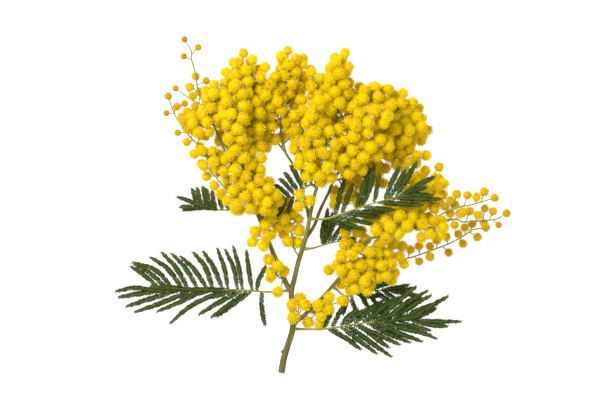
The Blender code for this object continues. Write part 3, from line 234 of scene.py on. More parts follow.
# %% Leaf lines
# Each frond: what carries it, the points of its rachis, and for each pinna the place of its root, of
# its middle and of its tip over the table.
Frond = namedtuple("Frond", "carrier rachis pinnae")
FRONDS = {
    "frond_low_left": Frond("trunk", [
        (-16, -61, 8.5), (-31, -62.3, 10), (-45.4, -61.4, 10.2), (-63.4, -60.7, 10),
        (-81.4, -61.4, 9.2), (-99.4, -61.9, 7.8), (-117.4, -60.9, 6.4),
    ], [
        ((-40, -60.5), (-39.6, -55), (-34.2, -43.9)), ((-44.6, -60.5), (-46.5, -45.4), (-48.2, -32.4)),
        ((-49.7, -59.8), (-53.3, -45.4), (-57.6, -29.5)),
        ((-55.1, -59), (-57.1, -45.7), (-63.4, -31.7)), ((-60.5, -58.3), (-63.7, -46.2), (-69.1, -31)),
        ((-66.2, -58.3), (-71.9, -44.3), (-79.2, -33.1)),
        ((-71.3, -58.3), (-77.8, -44.4), (-86.4, -33.8)),
        ((-76.3, -57.6), (-86.1, -45.7), (-95.8, -36.7)),
        ((-82.1, -58.3), (-91.8, -45.6), (-102.2, -34.6)),
        ((-88.6, -58.3), (-98.3, -45.7), (-109.4, -33.8)),
        ((-93.6, -58.3), (-105.1, -45.5), (-117.4, -37.4)),
        ((-98.6, -59), (-113.2, -46.9), (-130.3, -41)),
        ((-104.4, -59), (-117.7, -48.7), (-128.9, -42.5)),
        ((-110.2, -59), (-120.4, -51.3), (-131.8, -43.9)),
        ((-114.5, -60.5), (-128.8, -59.3), (-142.6, -61.9)),
        ((-111.6, -61.9), (-126, -63.6), (-140.4, -66.2)),
        ((-101.5, -62.6), (-117.3, -67.1), (-134.6, -72.7)),
        ((-90.7, -62.6), (-110.2, -70.4), (-128.9, -77)),
        ((-79.2, -62.6), (-95.8, -69.5), (-112.3, -76.3)),
        ((-65.5, -61.9), (-88.5, -72.6), (-103, -85)), ((-50.4, -61.2), (-66, -68.8), (-82.1, -78.5)),
        ((-46.1, -61.9), (-58.9, -70.3), (-73.4, -80.6)),
        ((-44.6, -61.9), (-54.6, -68.9), (-69.1, -79.9)),
        ((-38.2, -62.6), (-36.9, -74.1), (-34.6, -86.4)),
        ((-55.4, -61.9), (-66.9, -64.2), (-79.2, -67)), ((-62.6, -61.2), (-79.2, -60.6), (-95, -60.5)),
        ((-72.7, -61.2), (-88.6, -64.5), (-103, -66.2)),
        ((-84.2, -61.2), (-101.5, -59.3), (-117.4, -58.3)),
        ((-95.8, -61.9), (-110.1, -61.5), (-124.6, -59.8)),
    ]),
    "frond_low_right": Frond("trunk", [
        (-14, -89, 4.8), (-0.7, -89.3, 8), (10.8, -88.7, 11.5), (23, -86.8, 13.8), (35.3, -84.7, 15),
        (51.1, -83.7, 16), (66.2, -82.8, 15), (77, -82.8, 14),
    ], [
        ((8.6, -88.6), (11.1, -81.5), (14.4, -74.9)), ((14.4, -87.8), (18.6, -78.1), (25.9, -67.7)),
        ((19.4, -87.1), (24.9, -80.4), (32.4, -74.9)), ((23.8, -86.4), (32.8, -78.4), (46.8, -70.6)),
        ((28.8, -85.7), (39.8, -76.5), (51.8, -67.7)), ((34.6, -85), (45.7, -75.4), (58.3, -67.7)),
        ((40.3, -84.2), (52, -74.4), (64.8, -64.8)), ((46.1, -83.5), (58.5, -71.5), (74.2, -58.3)),
        ((51.8, -83.5), (65.4, -71.4), (82.8, -61.2)), ((56.9, -83.5), (70.3, -72.7), (85, -64.8)),
        ((67, -82.8), (80.7, -74.9), (97.2, -65.5)), ((70.6, -82.8), (79.1, -79), (88.6, -74.2)),
        ((74.2, -82.8), (91.4, -83.4), (106.6, -83.5)), ((70.6, -82.8), (84.3, -85.9), (97.2, -87.1)),
        ((59.8, -82.8), (72, -86.4), (85, -90)), ((51.1, -83.5), (70.4, -88.9), (89.3, -95.8)),
        ((44.6, -83.5), (62.1, -91.8), (78.5, -97.9)), ((38.2, -84.2), (53.4, -91.9), (69.8, -98.6)),
        ((31.7, -85), (44.7, -95), (54.7, -102.2)), ((25.9, -86.4), (41.2, -98.4), (56.2, -108.7)),
        ((20.9, -87.1), (34, -97.7), (46.1, -106.6)), ((15.1, -87.8), (23.9, -95.6), (34.6, -103.7)),
        ((12.2, -88.6), (21.8, -94.7), (30.2, -98.6)), ((52.6, -83.5), (65.5, -81.3), (80.6, -78.5)),
        ((42.5, -84.2), (56.9, -78.6), (73.4, -72.7)), ((23.8, -86.4), (37.4, -95.2), (51.8, -105.1)),
        ((30.2, -85.7), (46.8, -92.9), (62.6, -100.1)), ((41.8, -84.2), (57.7, -90.5), (74.2, -95.8)),
        ((48.2, -83.5), (65.6, -88.4), (84.2, -92.9)), ((37.4, -84.2), (48.6, -74.6), (61.2, -66.2)),
        ((49.7, -83.5), (62.8, -74.4), (77.8, -65.5)), ((60.5, -82.8), (73.5, -76.4), (86.4, -70.6)),
    ]),
    "frond_behind": Frond("low_right", [
        (14, -58, 13.5), (23, -65, 7.5), (28.8, -64.4, 5.4), (36.7, -61.8, 4.6), (48.2, -61.2, 4),
        (56.9, -61.9, 3.4),
    ], [
        ((33.8, -61.9), (41.1, -58.4), (51.1, -54)), ((41, -61.2), (49.8, -57.3), (59.8, -54.7)),
        ((48.2, -61.2), (58.3, -59.7), (69.1, -57.6)), ((54, -61.2), (64, -61.4), (74.2, -59.8)),
        ((56.2, -61.9), (66.9, -63.5), (77.8, -65.5)), ((51.1, -61.2), (56.9, -65.6), (64.1, -71.3)),
        ((44.6, -61.2), (50.6, -66), (59, -71.3)), ((37.4, -61.9), (42.3, -66.4), (46.8, -72)),
        ((31, -63.4), (38.9, -65.5), (49, -64.8)), ((27.4, -64.8), (29.9, -73.3), (34.6, -82.1)),
        ((25.2, -64.8), (23.6, -72), (21.6, -78.5)), ((33.8, -61.9), (36.8, -67.7), (39.6, -72.7)),
    ]),
    "frond_left": Frond("left", [
        (-43, -1, 22.5), (-50.4, -3.4, 22), (-60.5, -3.2, 20), (-72.7, -2.9, 17), (-82.8, -2.5, 14.5),
        (-88.6, -2.2, 12.5),
    ], [
        ((-60.5, -2.9), (-62.6, 1.5), (-64.8, 6.5)), ((-64.8, -2.9), (-66.7, 2.9), (-67.7, 10.1)),
        ((-69.1, -2.9), (-71.6, 3.7), (-72.7, 10.8)), ((-72.7, -2.9), (-75.4, 5.1), (-77, 12.2)),
        ((-75.6, -2.2), (-77.6, 5.8), (-79.2, 13.7)), ((-78.5, -2.2), (-81.7, 5.2), (-83.5, 13)),
        ((-81.4, -2.2), (-84.7, 5.1), (-87.1, 12.2)), ((-73.4, -2.2), (-85.7, 2.2), (-97.9, 6.5)),
        ((-79.9, -2.2), (-88.6, -0.9), (-95.8, -0.7)), ((-84.2, -2.2), (-89.3, -2.3), (-93.6, -2.9)),
        ((-67.7, -2.9), (-77.8, -0.1), (-87.1, 2.2)),
    ]),
    "frond_middle": Frond("trunk", [
        (3, 13, 29.5), (-1.4, 15.1, 28), (-7.9, 11.5, 25.5), (-13.7, 7.2, 22), (-19.4, 2.9, 18),
    ], [
        ((-1.4, 15.1), (-2.1, 23), (-2.9, 31.7)), ((-4.3, 13.7), (-7, 22.4), (-8.6, 30.2)),
        ((-7.2, 12.2), (-11.7, 21.5), (-15.8, 28.8)), ((-10.1, 10.1), (-15.9, 18), (-20.2, 23.8)),
        ((-13, 7.9), (-18.9, 14.9), (-23.8, 19.4)), ((-15.8, 5.8), (-21.8, 11.3), (-27.4, 15.1)),
        ((-18.7, 3.6), (-23.6, 7.3), (-28.8, 12.2)), ((-6.5, 12.2), (-10.4, 4.9), (-12.2, -1.4)),
        ((-13.7, 6.5), (-15.8, 1.4), (-18, -4.3)), ((-18.7, 3.6), (-22.7, -1.6), (-25.9, -7.9)),
    ]),
    "frond_front": Frond("trunk", [
        (-3, -9, 23), (5, -9.6, 28), (11.5, -8.8, 32), (23, -5, 36.5), (33.8, -1.1, 39.5),
        (44.6, 2.2, 41.5), (55.4, 5, 42.5), (64.1, 7.7, 42.8), (69.8, 9.2, 42.5),
    ], [
        ((15.1, -7.9), (18.9, 6.4), (23, 19.4)), ((20.2, -6.5), (24.6, 5.7), (28.8, 15.8)),
        ((29.5, -2.9), (35.2, 10.8), (41, 26.6)), ((36.7, 0), (40.7, 13.1), (43.9, 29.5)),
        ((42.5, 1.4), (45.8, 12.3), (47.5, 22.3)), ((50.4, 3.6), (55.5, 15.1), (61.9, 28.1)),
        ((54, 4.3), (60.4, 15.2), (66.2, 25.9)), ((59.8, 6.5), (65.8, 17.8), (74.2, 31)),
        ((64.8, 7.9), (75.1, 14.8), (87.1, 20.9)), ((61.9, 7.2), (70.7, 11), (81.4, 13)),
        ((67.7, 8.6), (77, 7.9), (85, 7.2)), ((56.9, 5), (73.4, 5), (91.4, 5)),
        ((45.4, 2.2), (61.9, 1.4), (78.5, 0.7)), ((35.3, -0.7), (47.5, -2.1), (58.3, -2.9)),
        ((26.6, -3.6), (38.2, -4.3), (51.1, -5)), ((21.6, -5.8), (34.5, -6.6), (47.5, -7.9)),
        ((16.6, -7.9), (30.2, -10.3), (43.9, -13.7)), ((13, -8.6), (25.2, -13), (36.7, -17.3)),
        ((11.5, -9.4), (19.4, -13.1), (27.4, -17.3)), ((32.4, -1.4), (38, 9.5), (43.2, 21.6)),
    ]),
    "frond_hidden": Frond("trunk", [
        (-7.9, -31, 16.5), (-0.7, -30.6, 15), (7.2, -28.4, 13), (15.1, -26.3, 11.5), (23, -25.2, 10),
    ], [
        ((6.5, -28.8), (6.7, -19.5), (7.9, -10.8)), ((8.6, -28.1), (9, -15.2), (10.8, -2.2)),
        ((10.8, -27.4), (12.6, -19.5), (15.8, -11.5)), ((13.7, -26.6), (17.5, -19.6), (21.6, -13.7)),
        ((17.3, -25.9), (21.7, -21.7), (26.6, -17.3)), ((20.2, -25.2), (25.2, -24.4), (31, -23)),
        ((7.9, -28.1), (11, -15.9), (14.4, -5)),
    ]),
}

print("Leaves:", len(FRONDS))

# %% [markdown]
# A leaf is limp, so each pinna arches up from the rachis and droops at its tip, by an amount that is drawn
# at random. The draws start from one seed, so every run gives the same leaf. The rachis starts where it
# comes clear of the branch, as the frame's does.

# %% Lay the leaves
SEED = 7
RACHIS_RADIUS = 0.95
GAP = 0.4
SAMPLE_STEP = 0.1
RACHIS_POINTS = 30
PINNA_POINTS = 7
PINNA_HALF_WIDTH = 1.9
PINNA_SHARE = (0.85, 1.0)
PINNA_ARCH = (0.6, 2.4)
PINNA_DROOP = (0.0, 1.6)
PINNA_FLOOR = 1.6


def directions(path):
    """The direction of a path at each of its points."""
    ahead = np.gradient(path, axis=0)
    return ahead / np.linalg.norm(ahead, axis=1)[:, None]


def clear_start(path, own_radius):
    """The path from where it comes clear of every branch, by a small gap at its nearest edge."""
    whole = path_length(path)
    count = int(whole / SAMPLE_STEP)
    fine = stretch_of(path, 0.0, 0.0, count)
    ahead = directions(fine)
    blocked = np.zeros(count, bool)
    for line, radii in branches.values():
        along = directions(line)
        distance = np.linalg.norm(fine[:, None] - line[None], axis=2)
        near = distance.argmin(1)
        cosine = np.abs((ahead * along[near]).sum(1))
        sine = np.sqrt(1 - np.minimum(cosine, 1) ** 2)
        past_tip = (fine - line[-1]) @ along[-1] > GAP + own_radius * sine
        blocked |= (distance.min(1) < radii[near] + GAP + own_radius * cosine) & ~past_tip
    return stretch_of(path, whole * int(np.argmin(blocked)) / (count - 1), 0.0, len(path))


def nearest_on(line, place):
    """The point of a line that is nearest to a place."""
    return line[int(np.argmin(np.linalg.norm(line - place, axis=1)))]


def lay_pinnae(frond, rachis, draw):
    """The path of each pinna and half its width."""
    pinnae = []
    for root, middle, tip in frond.pinnae:
        foot = rachis[int(np.argmin(np.linalg.norm(rachis[:, :2] - np.array(root), axis=1)))]
        top = max(foot[2] + draw.uniform(*PINNA_ARCH), PINNA_FLOOR)
        end = max(foot[2] - draw.uniform(*PINNA_DROOP), PINNA_FLOOR)
        path = smooth_path([foot, (*middle, top), (*tip, end)], PINNA_POINTS)
        pinnae.append((path, PINNA_HALF_WIDTH * draw.uniform(*PINNA_SHARE)))
    return pinnae


def lay_fronds(draw):
    """For each frond the path of its rachis, clear of its carrier, and those of its pinnae."""
    laid = {}
    for name, frond in FRONDS.items():
        rachis = smooth_path(frond.rachis, RACHIS_POINTS)
        pinnae = lay_pinnae(frond, rachis, draw)
        rachis[0] = nearest_on(branches[frond.carrier][0], rachis[0])
        laid[name] = clear_start(rachis, RACHIS_RADIUS), pinnae
    return laid


fronds = lay_fronds(random.Random(SEED))
print("Pinnae:", sum(len(pinnae) for _, pinnae in fronds.values()))

# %% [markdown]
# ## Where the racemes run
#
# The heads of a mimosa grow along racemes, thin axes that leave the branches. Some racemes stand loosely
# in two rows, towards the tips of the sprig, and the rest are crowded all round their axes. A few short
# racemes spring from the axis of another one.

# %% Raceme lines
# Each raceme: what carries it and where, the way of its axis over the table, the height of its tip,
# its number of heads, their diameter at its foot and tip, and whether they stand loosely in two rows.
# The heads of a raceme without a number are in PLACED.
Raceme = namedtuple("Raceme", "carrier foot way tip_z heads foot_size tip_size loose")
RACEMES = {
    "left_01": Raceme("left", (-80, 76), [
        (-83, 84), (-84.6, 95), (-87.5, 106), (-87.5, 111), (-92.5, 119.7),
    ], 26, 0, 7.4, 4.8, True),
    "left_02": Raceme("left", (-75, 66), [(-81, 73), (-88, 76.5), (-94, 81), (-98.9, 84.6)],
                      22, 0, 7.4, 4.8, True),
    "left_03": Raceme("left", (-70, 55), [(-77, 56), (-86, 60), (-91, 67)], 13, 9, 8.0, 6.0, True),
    "left_04": Raceme("left", (-61, 36), [(-71, 39), (-85, 46), (-96, 59), (-101, 68), (-104.9, 79.4)],
                      2, 0, 8.0, 5.8, True),
    "left_05": Raceme("left", (-55, 23), [(-61, 27), (-70, 33), (-84, 38)], 33, 13, 8.2, 7.4, False),
    "left_06": Raceme("left", (-44, 1), [(-53, 6), (-64, 14), (-78, 30)], 28, 9, 8.4, 6.8, True),
    "left_07": Raceme("left_08", (-71, 58), [(-78, 58), (-86, 60)], 40, 7, 8.0, 7.4, False),
    "left_08": Raceme("left", (-68, 52), [(-71, 60), (-70, 71), (-70, 86)], 34, 15, 8.2, 7.4, False),
    "left_09": Raceme("left", (-60, 35), [(-62, 43), (-61, 58), (-62, 84)], 14, 17, 8.2, 7.4, False),
    "left_10": Raceme("left_front", (-46, 18), [(-52, 30), (-56, 48), (-55, 84)], 52, 20, 8.6, 8.0, False),
    "left_11": Raceme("left_front", (-51, 61), [(-52, 76), (-50, 94), (-50, 109)], 36, 16, 8.4, 7.6, False),
    "left_12": Raceme("left_10", (-56, 52), [(-57, 66), (-58, 84), (-58, 102)], 27, 14, 8.2, 7.6, False),
    "left_13": Raceme("left_front", (-50, 50), [(-46, 60), (-42, 74), (-44, 102)], 27, 16, 8.2, 7.6, False),
    "left_14": Raceme("left_front", (-47, 24), [(-46, 34), (-47, 46), (-46, 64)], 28, 14, 8.4, 7.8, False),
    "left_15": Raceme("left_16", (-36, 2), [(-41, 12), (-44, 20), (-44, 29)], 34, 10, 8.4, 8.0, False),
    "left_16": Raceme("left_front", (-38, -4), [(-36, 2), (-36, 8), (-38, 17)], 40, 13, 8.6, 8.0, False),
    "left_17": Raceme("left", (-36, -16), [(-30, -13), (-28, -6), (-30, 4)], 16, 10, 8.4, 7.6, False),
    "left_18": Raceme("left", (-32, -26), [(-36, -24), (-40, -18)], 26, 7, 8.4, 8.2, False),
    "left_19": Raceme("left", (-21, -53), [(-25, -51), (-30, -40)], 20, 5, 8.4, 8.4, False),
    "left_20": Raceme("left_front", (-41, 4), [(-46, 11), (-49, 20), (-51, 32)], 22, 12, 8.4, 8.0, False),
    "left_21": Raceme("left_20", (-43, 7), [(-48, 3), (-56, 8)], 40, 8, 8.6, 8.0, False),
    "left_22": Raceme("left_19", (-22, -54), [(-23, -58), (-26, -62)], 17, 1, 8.4, 8.4, False),
    "mid_01": Raceme("middle_back", (-22, 73), [(-21, 86), (-18, 98), (-18, 111)], 24, 16, 8.2, 7.6, False),
    "mid_02": Raceme("mid_03", (-24, 44), [(-31, 47), (-40, 51)], 18, 6, 8.0, 7.8, False),
    "mid_03": Raceme("middle_back", (-19, 37), [(-25, 45), (-36, 61), (-43, 80)], 10, 12, 8.2, 7.6, False),
    "mid_04": Raceme("middle_back", (-23, 60), [(-27, 68), (-33, 82), (-35, 97)], 36, 16, 8.2, 7.6, False),
    "mid_05": Raceme("middle_back", (-21, 45), [(-17, 50), (-16, 64)], 11, 7, 8.0, 7.6, False),
    "mid_06": Raceme("middle_back", (-23, 67), [(-17, 76), (-10, 90), (-7, 106)], 14, 16, 8.2, 7.4, False),
    "mid_07": Raceme("trunk", (-10, -38), [(-14, -30), (-16, -15), (-19, 2)], 8, 14, 8.0, 8.0, False),
    "mid_08": Raceme("trunk", (-1, -3), [(-5, -2), (-8, 6)], 33, 3, 8.2, 8.2, False),
    "mid_09": Raceme("mid_04", (-26, 66), [(-35, 72), (-41, 89)], 24, 14, 8.2, 7.6, False),
    "front_01": Raceme("trunk", (2, 11), [(1, 20), (-1, 36), (0, 54), (3, 74)], 58, 17, 9.4, 8.2, False),
    "front_02": Raceme("front_01", (1, 22), [(-4, 32), (-7, 50), (-5, 74)], 30, 16, 8.6, 8.0, False),
    "front_03": Raceme("trunk", (15, 40), [(6, 47), (-5, 55), (-18, 66)], 22, 13, 8.2, 7.6, False),
    "front_04": Raceme("trunk", (19, 50), [(12, 61), (6, 76), (1, 94)], 26, 18, 8.4, 7.6, False),
    "front_05": Raceme("trunk", (22, 60), [(18, 72), (17, 88), (22, 109)], 50, 17, 8.6, 7.8, False),
    "front_06": Raceme("trunk", (24, 71), [(22, 80), (19, 92), (15, 105)], 30, 14, 8.4, 7.6, False),
    "front_07": Raceme("trunk", (22, 63), [(31, 68), (39, 76), (53, 84)], 44, 17, 8.6, 7.6, False),
    "front_08": Raceme("trunk", (17, 46), [(26, 52), (38, 60), (55, 70)], 60, 18, 9.0, 8.4, False),
    "front_09": Raceme("trunk", (12, 31), [(21, 36), (33, 40), (52, 42)], 50, 16, 8.8, 8.2, False),
    "front_10": Raceme("right_back", (14, 17), [(22, 20), (34, 21), (50, 18)], 10, 14, 8.6, 8.0, False),
    "front_11": Raceme("front_03", (12, 43), [(13, 54), (9, 72), (12, 98)], 16, 20, 8.2, 7.8, False),
    "front_12": Raceme("front_07", (27, 66), [(30, 72), (34, 85)], 14, 15, 8.4, 7.8, False),
    "front_13": Raceme("front_09", (17, 34), [(23, 31), (34, 34)], 38, 10, 8.8, 8.2, False),
    "front_14": Raceme("front_01", (1, 19), [(5, 27), (9, 38), (12, 53)], 54, 10, 8.8, 8.4, False),
    "front_15": Raceme("front_10", (19, 19), [(21, 11), (15, 1)], 14, 5, 8.4, 8.0, False),
    "front_16": Raceme("front_10", (27, 21), [(31, 13), (31, 4)], 16, 4, 8.4, 8.0, False),
    "right_01": Raceme("right_back", (53, 55), [(57, 63), (61, 71), (65, 80)], 36, 15, 8.4, 7.4, False),
    "right_02": Raceme("right_01", (57, 61), [(65, 63), (77, 63)], 22, 12, 8.4, 7.2, False),
    "right_03": Raceme("right_back", (40, 45), [(52, 43), (66, 46), (82, 54)], 16, 16, 8.4, 7.4, False),
    "right_04": Raceme("right_back", (30, 38), [(42, 35), (60, 34), (81, 36)], 26, 16, 8.4, 7.6, False),
    "right_05": Raceme("right_back", (45, 50), [(51, 58), (55, 70), (54, 83)], 3, 15, 8.4, 7.8, False),
    "right_06": Raceme("right_back", (45, 50), [(56, 51), (77, 58)], 42, 14, 8.6, 8.0, False),
    "right_07": Raceme("low_right", (53, -21), [(61, -11), (70, -1), (79, 12), (91, 28)],
                       18, 20, 8.2, 7.2, False),
    "right_08": Raceme("right_07", (62, -10), [(73, -4), (83, 3), (91, 16)], 24, 16, 8.4, 8.0, False),
    "right_09": Raceme("low_right", (94, -10), [(103.7, -9.7), (108.7, -11.5), (131, -9.7), (139.3, -5.4)],
                       22, 0, 8.2, 6.0, True),
    "right_10": Raceme("low_right", (84, -12), [
        (91.4, -6.5), (102, -1.4), (113, 0.7), (121, 2.9), (130.3, 5.8),
    ], 34, 0, 8.2, 6.2, True),
    "right_11": Raceme("low_right", (24, -45), [
        (37, -45), (51, -42), (72, -37), (92, -30), (98.6, -27.4), (109, -22), (115.9, -17.3),
        (125.3, -15.8),
    ], 3, 0, 8.6, 6.4, True),
    "right_12": Raceme("low_right", (73, -16), [(80, -17), (93, -16)], 40, 7, 8.4, 8.0, False),
    "right_13": Raceme("right_07", (75, 7), [(72, 14), (70, 24)], 26, 6, 8.6, 8.2, False),
    "low_01": Raceme("low_right", (19, -52), [(22, -47), (22, -38)], 22, 8, 8.6, 8.4, False),
    "low_02": Raceme("low_right", (28, -40), [(26, -36), (25, -29)], 26, 5, 8.4, 8.4, False),
    "low_03": Raceme("low_right", (32, -32), [(31, -26), (28, -17)], 14, 7, 8.4, 8.0, False),
    "low_04": Raceme("low_right", (21, -50), [(26, -53), (28, -61)], 8, 6, 8.4, 8.2, False),
    "low_05": Raceme("low_right", (26, -42), [(32, -47), (37, -59)], 26, 10, 8.6, 8.2, False),
    "low_06": Raceme("low_right", (32, -32), [(42, -39), (57, -52)], 22, 14, 8.6, 8.0, False),
    "low_07": Raceme("low_06", (38, -37), [(48, -33), (64, -30)], 12, 10, 8.4, 8.0, False),
    "low_08": Raceme("low_right", (43, -23), [(51, -17), (60, -13), (72, -11)], 40, 13, 8.8, 8.2, False),
    "low_09": Raceme("low_08", (47, -20), [(46, -13), (52, -8), (63, -4)], 14, 12, 8.4, 8.0, False),
    "low_10": Raceme("low_right", (-9, -81), [(-11, -77), (-16, -73)], 13, 4, 8.6, 8.8, False),
    "low_11": Raceme("low_12", (0, -76), [(2, -79), (5, -83)], 3, 4, 8.4, 8.8, False),
    "low_12": Raceme("low_right", (-3, -76), [(6, -74), (20, -69)], 16, 6, 8.0, 8.2, False),
}

print("Racemes:", len(RACEMES))

# %% [markdown]
# At the rim of the sprig each head is seen by itself, so a draw at random would show there as a wrong
# outline. Those heads have their places given, and only their heights are left to chance.

# %% Heads at the rim
# Racemes whose heads stand apart: from the tip, the place of each head over the table and its diameter.
PLACED = {
    "left_01": [
        (-92.5, 119.7, 4.8), (-82.6, 114.1, 5.2), (-92.9, 107.5, 4.8), (-84.2, 92.2, 6.2),
        (-76.8, 89.8, 5.8), (-88.2, 84.2, 6.8),
    ],
    "left_02": [
        (-98.9, 84.6, 4.8), (-87.8, 68.8, 6.6), (-84.6, 72.4, 6.4), (-82.1, 81.4, 6.6),
        (-86.4, 78.8, 6.4),
    ],
    "left_04": [
        (-104.9, 79.4, 5.8), (-106.2, 67.2, 4.8), (-97.9, 72.0, 6.0), (-94.7, 73.4, 5.2),
        (-95.0, 61.9, 6.6), (-97.9, 52.8, 5.2), (-91.1, 46.1, 6.4), (-92.9, 56.5, 6.6),
        (-90.7, 61.9, 6.8), (-85.7, 54.0, 6.6), (-81.4, 51.1, 6.8), (-82.1, 43.9, 7.0),
    ],
    "right_09": [
        (139.3, -5.4, 6.0), (133.6, -13.7, 5.0), (123.8, -10.8, 6.2), (128.5, -3.6, 6.2),
        (124.6, -2.5, 6.2), (118.8, -7.2, 6.6), (112.3, -4.3, 6.6), (101.9, -13.7, 6.2),
        (106.6, -5.8, 6.8), (98.6, -5.8, 6.8), (92.2, -14.4, 7.0),
    ],
    "right_10": [
        (130.3, 5.8, 6.2), (122.4, 9.7, 6.8), (117.7, 4.3, 6.8), (110.9, 7.6, 6.2),
        (102.6, 7.6, 6.6), (99.4, 3.6, 6.4), (106.6, -1.4, 6.8), (101.5, -0.7, 6.8),
        (97.2, -2.9, 6.8), (90.7, -6.5, 7.6), (87.8, -2.2, 7.0),
    ],
    "right_11": [
        (125.3, -15.8, 6.4), (119.2, -22.7, 6.4), (115.2, -13.3, 5.9), (110.2, -15.8, 6.4),
        (107.3, -22.3, 6.2), (108.4, -26.5, 6.4), (98.3, -33.8, 6.2), (96.5, -22.3, 6.6),
        (89.6, -25.2, 6.4), (85.7, -30.6, 6.2), (84.6, -35.3, 6.8), (77.0, -40.3, 6.0),
        (76.8, -29.2, 6.6), (70.6, -31.7, 6.6), (63.0, -39.6, 7.6), (54.7, -37.4, 7.6),
        (46.8, -41.0, 7.8),
    ],
}

print("Heads at the rim:", sum(len(places) for places in PLACED.values()))

# %% [markdown]
# ## Raceme axes
#
# An axis leaves its carrier, rises or sinks to the height of its tip, and ends in its last head. Racemes
# that another one bears are laid after it, because they start from its line.

# %% Lay the axes
AXIS_RADIUS = 0.6
AXIS_POINTS = 24
STALK_LENGTH = (2.0, 3.4)


def raceme_axis(raceme, start):
    """The path of an axis from a point of its carrier. It ends just before the raceme's last head."""
    flat = [tuple(start[:2])] + raceme.way
    steps = [math.dist(a, b) for a, b in zip(flat, flat[1:])]
    points = [tuple(start)]
    for k, (x, y) in enumerate(raceme.way):
        share = sum(steps[:k + 1]) / sum(steps)
        points.append((x, y, start[2] + (raceme.tip_z - start[2]) * share * (2 - share)))
    path = smooth_path(points, 2 * AXIS_POINTS)
    return stretch_of(path, 0.0, raceme.tip_size / 2 + STALK_LENGTH[0], AXIS_POINTS)


def lay_axes():
    """For each raceme the path of its axis from its carrier's middle line, and the carrier's radius."""
    laid = {}
    radii = {}
    waiting = dict(RACEMES)
    while waiting:
        for name, raceme in list(waiting.items()):
            if raceme.carrier in waiting:
                continue
            del waiting[name]
            if raceme.carrier in branches:
                line, around = branches[raceme.carrier]
            else:
                line = laid[raceme.carrier]
                around = np.full(len(line), AXIS_RADIUS)
            at = int(np.argmin(np.linalg.norm(line[:, :2] - np.array(raceme.foot), axis=1)))
            laid[name] = raceme_axis(raceme, line[at])
            radii[name] = float(around[at])
    return laid, radii


axes, carrier_radii = lay_axes()
print(f"Axes: {sum(path_length(path) for path in axes.values()) / 1000:.1f} m in all")

# %% [markdown]
# ## Making room for the axes
#
# Lines drawn on a flat picture cross, and real stalks pass each other. An axis that comes too near to a
# branch, a leaf or another raceme is bent up or down, a little at a time, until it passes clear. Its foot
# stays where it is.

# %% Part the axes
AXIS_SPACE = 0.7
AXIS_FLOOR = AXIS_RADIUS + 0.4
PART_ROUNDS = 30
PART_STEP = 0.6
LIFT_SPREAD = (0.3, 0.6, 0.9, 1, 0.9, 0.6, 0.3)
FIXED_FOOT = 4


def walls_of_sprig():
    """Points along every branch, rachis and pinna, with the room that each takes round it."""
    walls = [path for path, _ in branches.values()]
    around = [radii for _, radii in branches.values()]
    for rachis, pinnae in fronds.values():
        walls.append(rachis)
        around.append(np.full(len(rachis), RACHIS_RADIUS))
        for pinna, half_width in pinnae:
            walls.append(smooth_path(pinna, 2 * PINNA_POINTS))
            around.append(np.full(2 * PINNA_POINTS, half_width))
    return np.concatenate(walls), np.concatenate(around)


def group_of(name):
    """The raceme that starts on a branch and bears the named one."""
    while RACEMES[name].carrier in RACEMES:
        name = RACEMES[name].carrier
    return name


def part_axes(fixed, fixed_radii):
    """Bends axes that cross each other, a branch or a pinna up or down until they pass clear."""
    owner = np.repeat(np.arange(len(axes)), AXIS_POINTS)
    groups = [group_of(name) for name in axes]
    group = np.array([groups.index(groups[k]) for k in owner])
    around = np.concatenate([np.full(len(owner), AXIS_RADIUS), fixed_radii])
    rows = np.arange(len(owner))
    foot = np.minimum(np.arange(AXIS_POINTS) / FIXED_FOOT, 1)
    for _ in range(PART_ROUNDS):
        points = np.concatenate(list(axes.values()))
        apart = points[:, None] - np.concatenate([points, fixed])[None]
        distance = np.linalg.norm(apart, axis=2)
        distance[:, :len(points)][group[:, None] == group[None]] = np.inf
        over = np.clip(AXIS_RADIUS + AXIS_SPACE + around[None] - distance, 0, None)
        worst = over.argmax(1)
        lift = over[rows, worst] * np.where(apart[rows, worst][:, 2] >= 0, 1.0, -1.0)
        for path, own in zip(axes.values(), lift.reshape(-1, AXIS_POINTS)):
            own[:FIXED_FOOT] = 0
            wide = np.convolve(own, LIFT_SPREAD, "same") * foot
            path[:, 2] = np.maximum(path[:, 2] + PART_STEP * wide, AXIS_FLOOR)


walls, wall_radii = walls_of_sprig()
part_axes(walls, wall_radii)
print("Highest axis:", round(max(path[:, 2].max() for path in axes.values()), 1), "mm")

# %% [markdown]
# ## Where the heads stand
#
# Along a crowded raceme each head is turned by 137.5 degrees from the one before, as leaves are round a
# shoot, which fills the round without rows. A loose raceme bears its heads left and right in turn. A head
# stands on a short stalk that leans forward, and the last one ends the axis.

# %% Heads round an axis
BARE_STALK = 4.5
HEAD_TURN = 137.5
CROWDED_SWAY = 25
LOOSE_SWAY = 50
HEAD_LEAN = (48, 66)
TIP_LEAN = 8
PLACE_SWAY = 0.25
SIZE_SWAY = 0.35
Head = namedtuple("Head", "raceme root centre radius")


def point_along(path, share):
    """The point at a share of an evenly spaced path, and the direction there."""
    at = share * (len(path) - 1)
    i = min(int(at), len(path) - 2)
    step = path[i + 1] - path[i]
    return path[i] + step * (at - i), step / np.linalg.norm(step)


def either_way(draw, most):
    return draw.uniform(-most, most)


